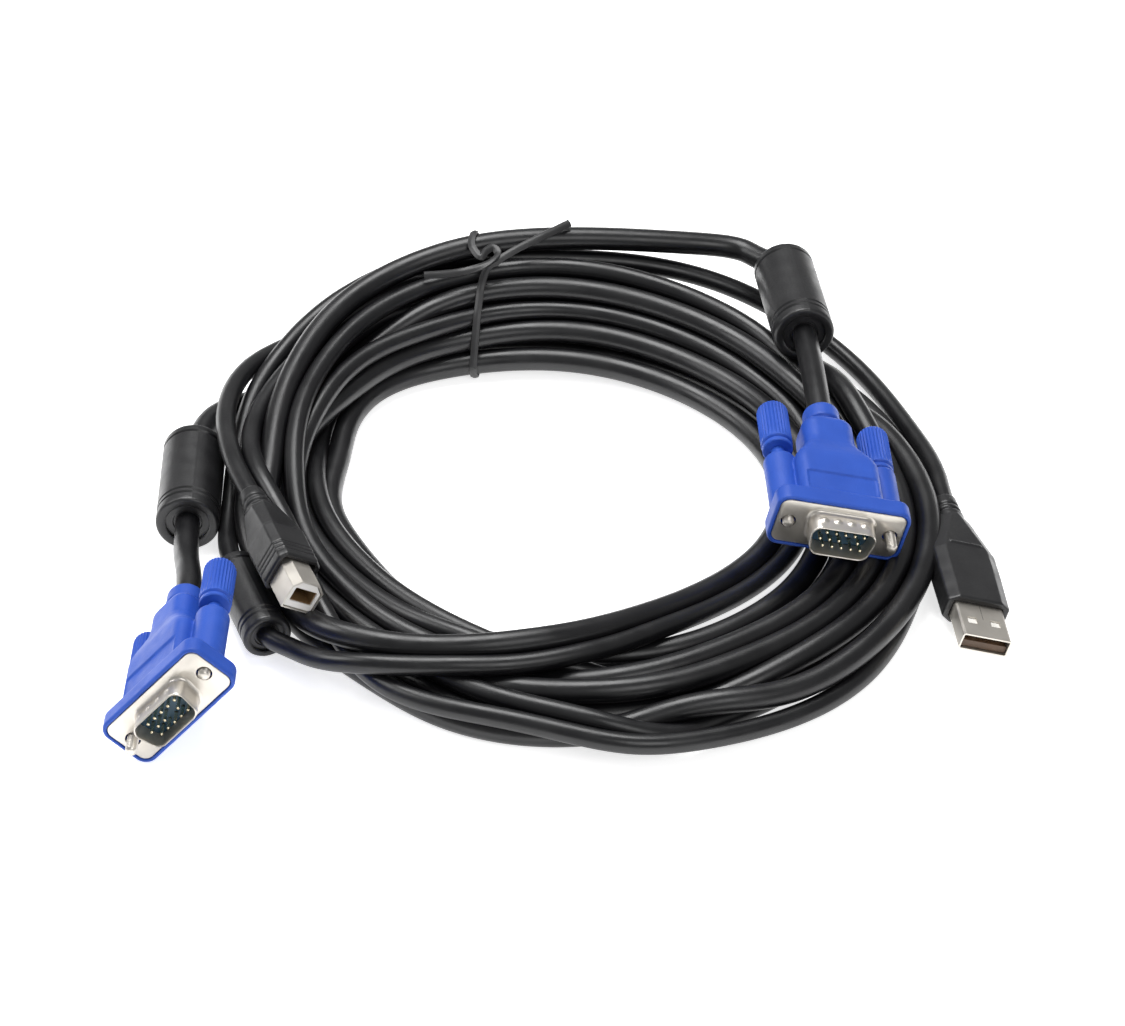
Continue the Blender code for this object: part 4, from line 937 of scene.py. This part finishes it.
def hood(plug):
    """A moulded hood: a flange round the plate, two screw bosses, a waisted body and a grooved neck."""
    matrix = placed(plug)
    flange = block("flange", [(-0.2, FLANGE[0] - 0.9, FLANGE[1] - 0.9, FLANGE_CORNER - 0.4),
                              (0.25, *FLANGE, FLANGE_CORNER), (4.6, *FLANGE, FLANGE_CORNER),
                              (5.0, FLANGE[0] - 0.7, FLANGE[1] - 0.7, FLANGE_CORNER - 0.3)], HOOD, matrix)
    body = block("body", HOOD_STATIONS, HOOD, matrix)
    end = HOOD_LENGTH
    profile = [(0.0, 34.0), (NECK_GROOVE, 34.0), (NECK_GROOVE, end - 5.1), (NECK_RADIUS - 0.2, end - 4.95),
               (NECK_RADIUS, end - 4.7), (NECK_RADIUS, end - 0.8), (NECK_RADIUS - 0.2, end - 0.3),
               (NECK_RADIUS - 0.7, end), (0.0, end)]
    neck = turned("neck", profile, 64, HOOD, matrix)
    width, height, depth = CONTACT_SPACE
    for part in (flange, body):
        cut_out(part, block("space", [(-1.0, width, height, 1.0), (depth, width, height, 1.0)], HOOD, matrix))
    seat = (PLATE[0] + SEAT_GAP, PLATE[1] + SEAT_GAP, PLATE_CORNER + 0.1)
    cut_out(flange, block("seat", [(-1.0, *seat), (PLATE_THICK + 0.3, *seat)], HOOD, matrix))
    for side in (-1, 1):
        floor = HOOD_STATIONS[0][2] / 2 - RECESS[2]
        panel = [oblong(RECESS[0], RECESS[1], 0.35, side * level, 4) for level in (floor, floor + 2.0)]
        middle = RECESS_START + RECESS[1] / 2
        panel = [[(x, z + middle, y) for x, y, z in ring] for ring in panel]
        cut_out(body, surface("panel", panel, HOOD, matrix))
    parts = [flange, body, neck]
    for side in (-1, 1):
        centre = (side * SCREW_PITCH / 2, 0.0)
        cut_out(flange, turned("bore", [(BORE, -2.0), (BORE, 7.0)], 40, HOOD, matrix, centre))
        boss = turned("boss", [(0.0, 1.5), (BOSS_RADIUS, 1.5), (BOSS_RADIUS, BOSS_END - 0.5),
                               (BOSS_RADIUS - 0.15, BOSS_END - 0.15), (BOSS_RADIUS - 0.5, BOSS_END),
                               (0.0, BOSS_END)], 64, HOOD, matrix, centre)
        cut_out(boss, turned("bore", [(BORE, -2.0), (BORE, BOSS_END + 2.0)], 40, HOOD, matrix, centre))
        parts.append(boss)
    piece = fused(f"{plug}_hood_moulding", parts, HOOD, voxel=0.27, rounds=4)
    return stand_in(piece, f"{plug}_hood")


RELIEF = 3.7
RELIEF_LENGTH = 8.0


def ringed_relief(start, matrix):
    """A ringed strain relief that narrows towards the USB cable."""
    end = start + RELIEF_LENGTH
    profile = [(0.0, start - 2.0), (RELIEF, start - 2.0), (RELIEF, start + 0.6)]
    for k in range(2):
        y = start + 1.2 + 2.4 * k
        low = RELIEF - 0.75 - 0.15 * k
        high = RELIEF - 0.25 * (k + 1)
        profile += [(high + 0.1, y - 0.35), (low, y), (low, y + 0.5), (high, y + 0.85), (high, y + 1.7)]
    profile += [(USB_RADIUS + 0.55, end - 0.4), (USB_RADIUS + 0.3, end), (0.0, end)]
    return turned("tail", profile, 64, MOULDING, matrix)


def chamfered(stations, lean, ease):
    """Rings with cut corners through stations of y, width, height and cut, lean times as wide as high."""
    rings = []
    for y, width, height, cut in stations:
        x, z = width / 2, height / 2
        corners = [(-x, -z + cut), (-x + lean * cut, -z), (x - lean * cut, -z), (x, -z + cut),
                   (x, z - cut), (x - lean * cut, z), (-x + lean * cut, z), (-x, z - cut)]
        rings.append([(p.x, y, p.y) for p in rounded_outline(corners, ease, 4)])
    return rings


def usb_a_body():
    """The plug's grip: chamfered top edges, a taper, a raised bar and a ringed relief."""
    plug = "computer_usb_a"
    matrix = placed(plug)
    stations = [(0.0, 15.0, 7.6, 1.3), (0.5, 15.6, 8.1, 1.6), (14.0, 15.9, 8.3, 1.6), (21.0, 15.8, 8.2, 1.6),
                (22.5, 15.3, 8.1, 1.7), (30.0, 11.6, 7.8, 2.0), (35.8, 9.4, 7.5, 2.4), (37.0, 8.0, 6.8, 2.6)]
    grip = surface("grip", chamfered(stations, 1.6, 0.6), MOULDING, matrix)
    seat = block("seat", [(-1.0, 12.3, 4.8, 0.5), (6.3, 12.3, 4.8, 0.5)], MOULDING, matrix)
    cut_out(grip, seat)
    bar = block("bar", [(22.2, 8.0, 0.7, 0.3), (22.75, 8.0, 0.7, 0.3)], MOULDING, matrix, (0.0, 4.05))
    tail = ringed_relief(USB_A_END - RELIEF_LENGTH, matrix)
    piece = fused(f"{plug}_overmould_grip", [grip, bar, tail], MOULDING, voxel=0.22, rounds=3)
    return stand_in(piece, f"{plug}_overmould")


def usb_b_body():
    """The square plug's grip: cut edges, three ridges near its front and a ringed relief."""
    plug = "switch_usb_b"
    matrix = placed(plug)
    stations = [(0.0, 10.8, 10.0, 1.5), (0.5, 11.5, 10.7, 1.6), (1.2, 11.6, 10.8, 1.6)]
    for k in range(3):
        y = 2.6 + 1.5 * k
        stations += [(y - 0.35, 11.6, 10.8, 1.6), (y, 11.0, 10.2, 1.5), (y + 0.35, 11.6, 10.8, 1.6)]
    stations += [(13.0, 11.7, 10.9, 1.6), (14.0, 11.4, 10.6, 1.7), (20.0, 9.6, 9.2, 1.9),
                 (25.0, 8.2, 8.0, 2.1), (26.0, 7.2, 7.0, 2.0)]
    grip = surface("grip", chamfered(stations, 1.0, 0.5), MOULDING, matrix)
    cut_out(grip, block("seat", [(-1.0, 8.8, 8.1, 0.5), (6.3, 8.8, 8.1, 0.5)], MOULDING, matrix))
    tail = ringed_relief(USB_B_END - RELIEF_LENGTH, matrix)
    piece = fused(f"{plug}_overmould_grip", [grip, tail], MOULDING, voxel=0.2, rounds=2)
    return stand_in(piece, f"{plug}_overmould")


def usb_a_fittings():
    """White pads behind the shell's windows, and a dark strip of painted shade along the shell's folded seam,
    in place of the seam's groove.
    """
    matrix = placed("computer_usb_a")
    for k, side in enumerate((-1, 1)):
        stations = [(-7.9, 2.9, 0.25, 0.1), (-4.9, 2.9, 0.25, 0.1)]
        pad = block(f"computer_usb_a_pad_{k + 1}", stations, USB_INNER, matrix, (side * 2.9, 1.72))
        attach(pad, BODY)
    # A thin dark strip laid on the shell: painted shade that stands in for the seam's groove
    seam = block("computer_usb_a_painted_seam_shade", [(-5.6, 0.1, 0.08, 0.03), (-0.1, 0.1, 0.08, 0.03)], PAINTED_SEAM_SHADE, matrix,
                 (0.0, 2.235))
    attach(seam, BODY)


def usb_b_mouth():
    """The brown contact carrier seen inside the square plug's white mouth."""
    matrix = placed("switch_usb_b")
    outer, inner = (5.86, 3.56), (5.5, 3.2)
    rings = [oblong(*inner, 0.2, -1.2), oblong(*inner, 0.2, -8.2),
             oblong(*outer, 0.3, -8.25), oblong(*outer, 0.3, -0.9)]
    liner = surface("switch_usb_b_mouth_liner", rings, BROWN, matrix)
    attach(liner, BODY)


def dress_pieces():
    for plug in ("computer_vga", "switch_vga"):
        hood(plug)
        vga_shell(plug)
        for side in ("left", "right"):
            knob(plug, side)
            screw(plug, side)
    for name, axis in VGA_FERRITES.items():
        ferrite(name, VGA_SLEEVE, axis)
    ferrite("usb_ferrite", USB_SLEEVE, USB_FERRITE)
    usb_a_body()
    usb_b_body()
    usb_a_fittings()
    usb_b_mouth()
    for node in ("computer_usb_a_shell", "switch_usb_b_shell", "switch_usb_b_core", "computer_usb_a_tongue"):
        edge = frame["nodes"][node].modifiers.new("edge", "BEVEL")
        edge.width = 0.1 * MM
        edge.segments = 2
        edge.limit_method = "ANGLE"


# Camera, light and floor

def view_and_light():
    scene = bpy.context.scene
    scene.view_settings.view_transform = "Standard"
    target = Vector(SHIFT) * MM
    camera = linked("camera", bpy.data.cameras.new("camera"))
    camera.location = target - DISTANCE * MM * Vector(AHEAD)
    camera.rotation_euler = Vector(AHEAD).to_track_quat("-Z", "Y").to_euler()
    camera.data.sensor_width = 36.0
    camera.data.lens = FOCAL * camera.data.sensor_width / PHOTO[0]
    camera.data.clip_start = 0.05
    scene.camera = camera
    world = bpy.data.worlds.new("studio")
    scene.world = world
    world.use_nodes = True
    world.node_tree.nodes["Background"].inputs["Color"].default_value = (1.0, 1.0, 1.0, 1.0)
    world.node_tree.nodes["Background"].inputs["Strength"].default_value = 0.30
    for name, place, size, power in (
            ("top", (-0.10, 0.30, 0.85), 0.55, 8.5),
            ("side", (-0.70, 0.05, 0.60), 0.4, 2.4),
            ("front", (0.35, -0.75, 0.75), 0.5, 2.6)):
        light = bpy.data.lights.new(name, "AREA")
        light.size = size
        light.energy = power
        lamp = linked(name, light)
        lamp.location = place
        lamp.rotation_euler = (target - Vector(place)).to_track_quat("-Z", "Y").to_euler()
    mesh = bpy.data.meshes.new("floor")
    reach = 3.0
    mesh.from_pydata([(-reach, -reach, 0), (reach, -reach, 0), (reach, reach, 0), (-reach, reach, 0)], [],
                     [(0, 1, 2, 3)])
    paper, _, shader = new_material("white_paper", (0.95, 0.95, 0.95), 0.85)
    shader.inputs["Emission Color"].default_value = (1.0, 1.0, 1.0, 1.0)
    shader.inputs["Emission Strength"].default_value = 0.70
    mesh.materials.append(paper)
    floor = linked("floor", mesh)


def main():
    dress_nodes()
    dress_pieces()
    vga, usb = lay_both()
    twist_tie([vga, usb], [VGA_RADIUS, USB_RADIUS])
    piece, length, start = cable_curve("vga_cable", vga, VGA_RADIUS, CABLE)
    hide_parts("cable_coil", "computer_vga_lead", "switch_vga_lead")
    far = ["computer_vga_hood_moulding", "computer_vga_shell_plate", "computer_vga_shell_skirt",
           "computer_vga_insulator", "computer_vga_left_knob_ribbed", "computer_vga_right_knob_ribbed",
           "computer_vga_left_screw_threaded", "computer_vga_right_screw_threaded"]
    far += [name for name in sorted(frame["nodes"]) if name.startswith("computer_vga_pin_")]
    piece, length, start = cable_curve("usb_cable", usb, USB_RADIUS, CABLE)
    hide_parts("cable_coil", "computer_usb_lead", "switch_usb_lead")
    far = ["computer_usb_a_overmould_grip", "computer_usb_a_shell", "computer_usb_a_tongue",
           "computer_usb_a_pad_1", "computer_usb_a_pad_2", "computer_usb_a_painted_seam_shade"]
    view_and_light()


main()
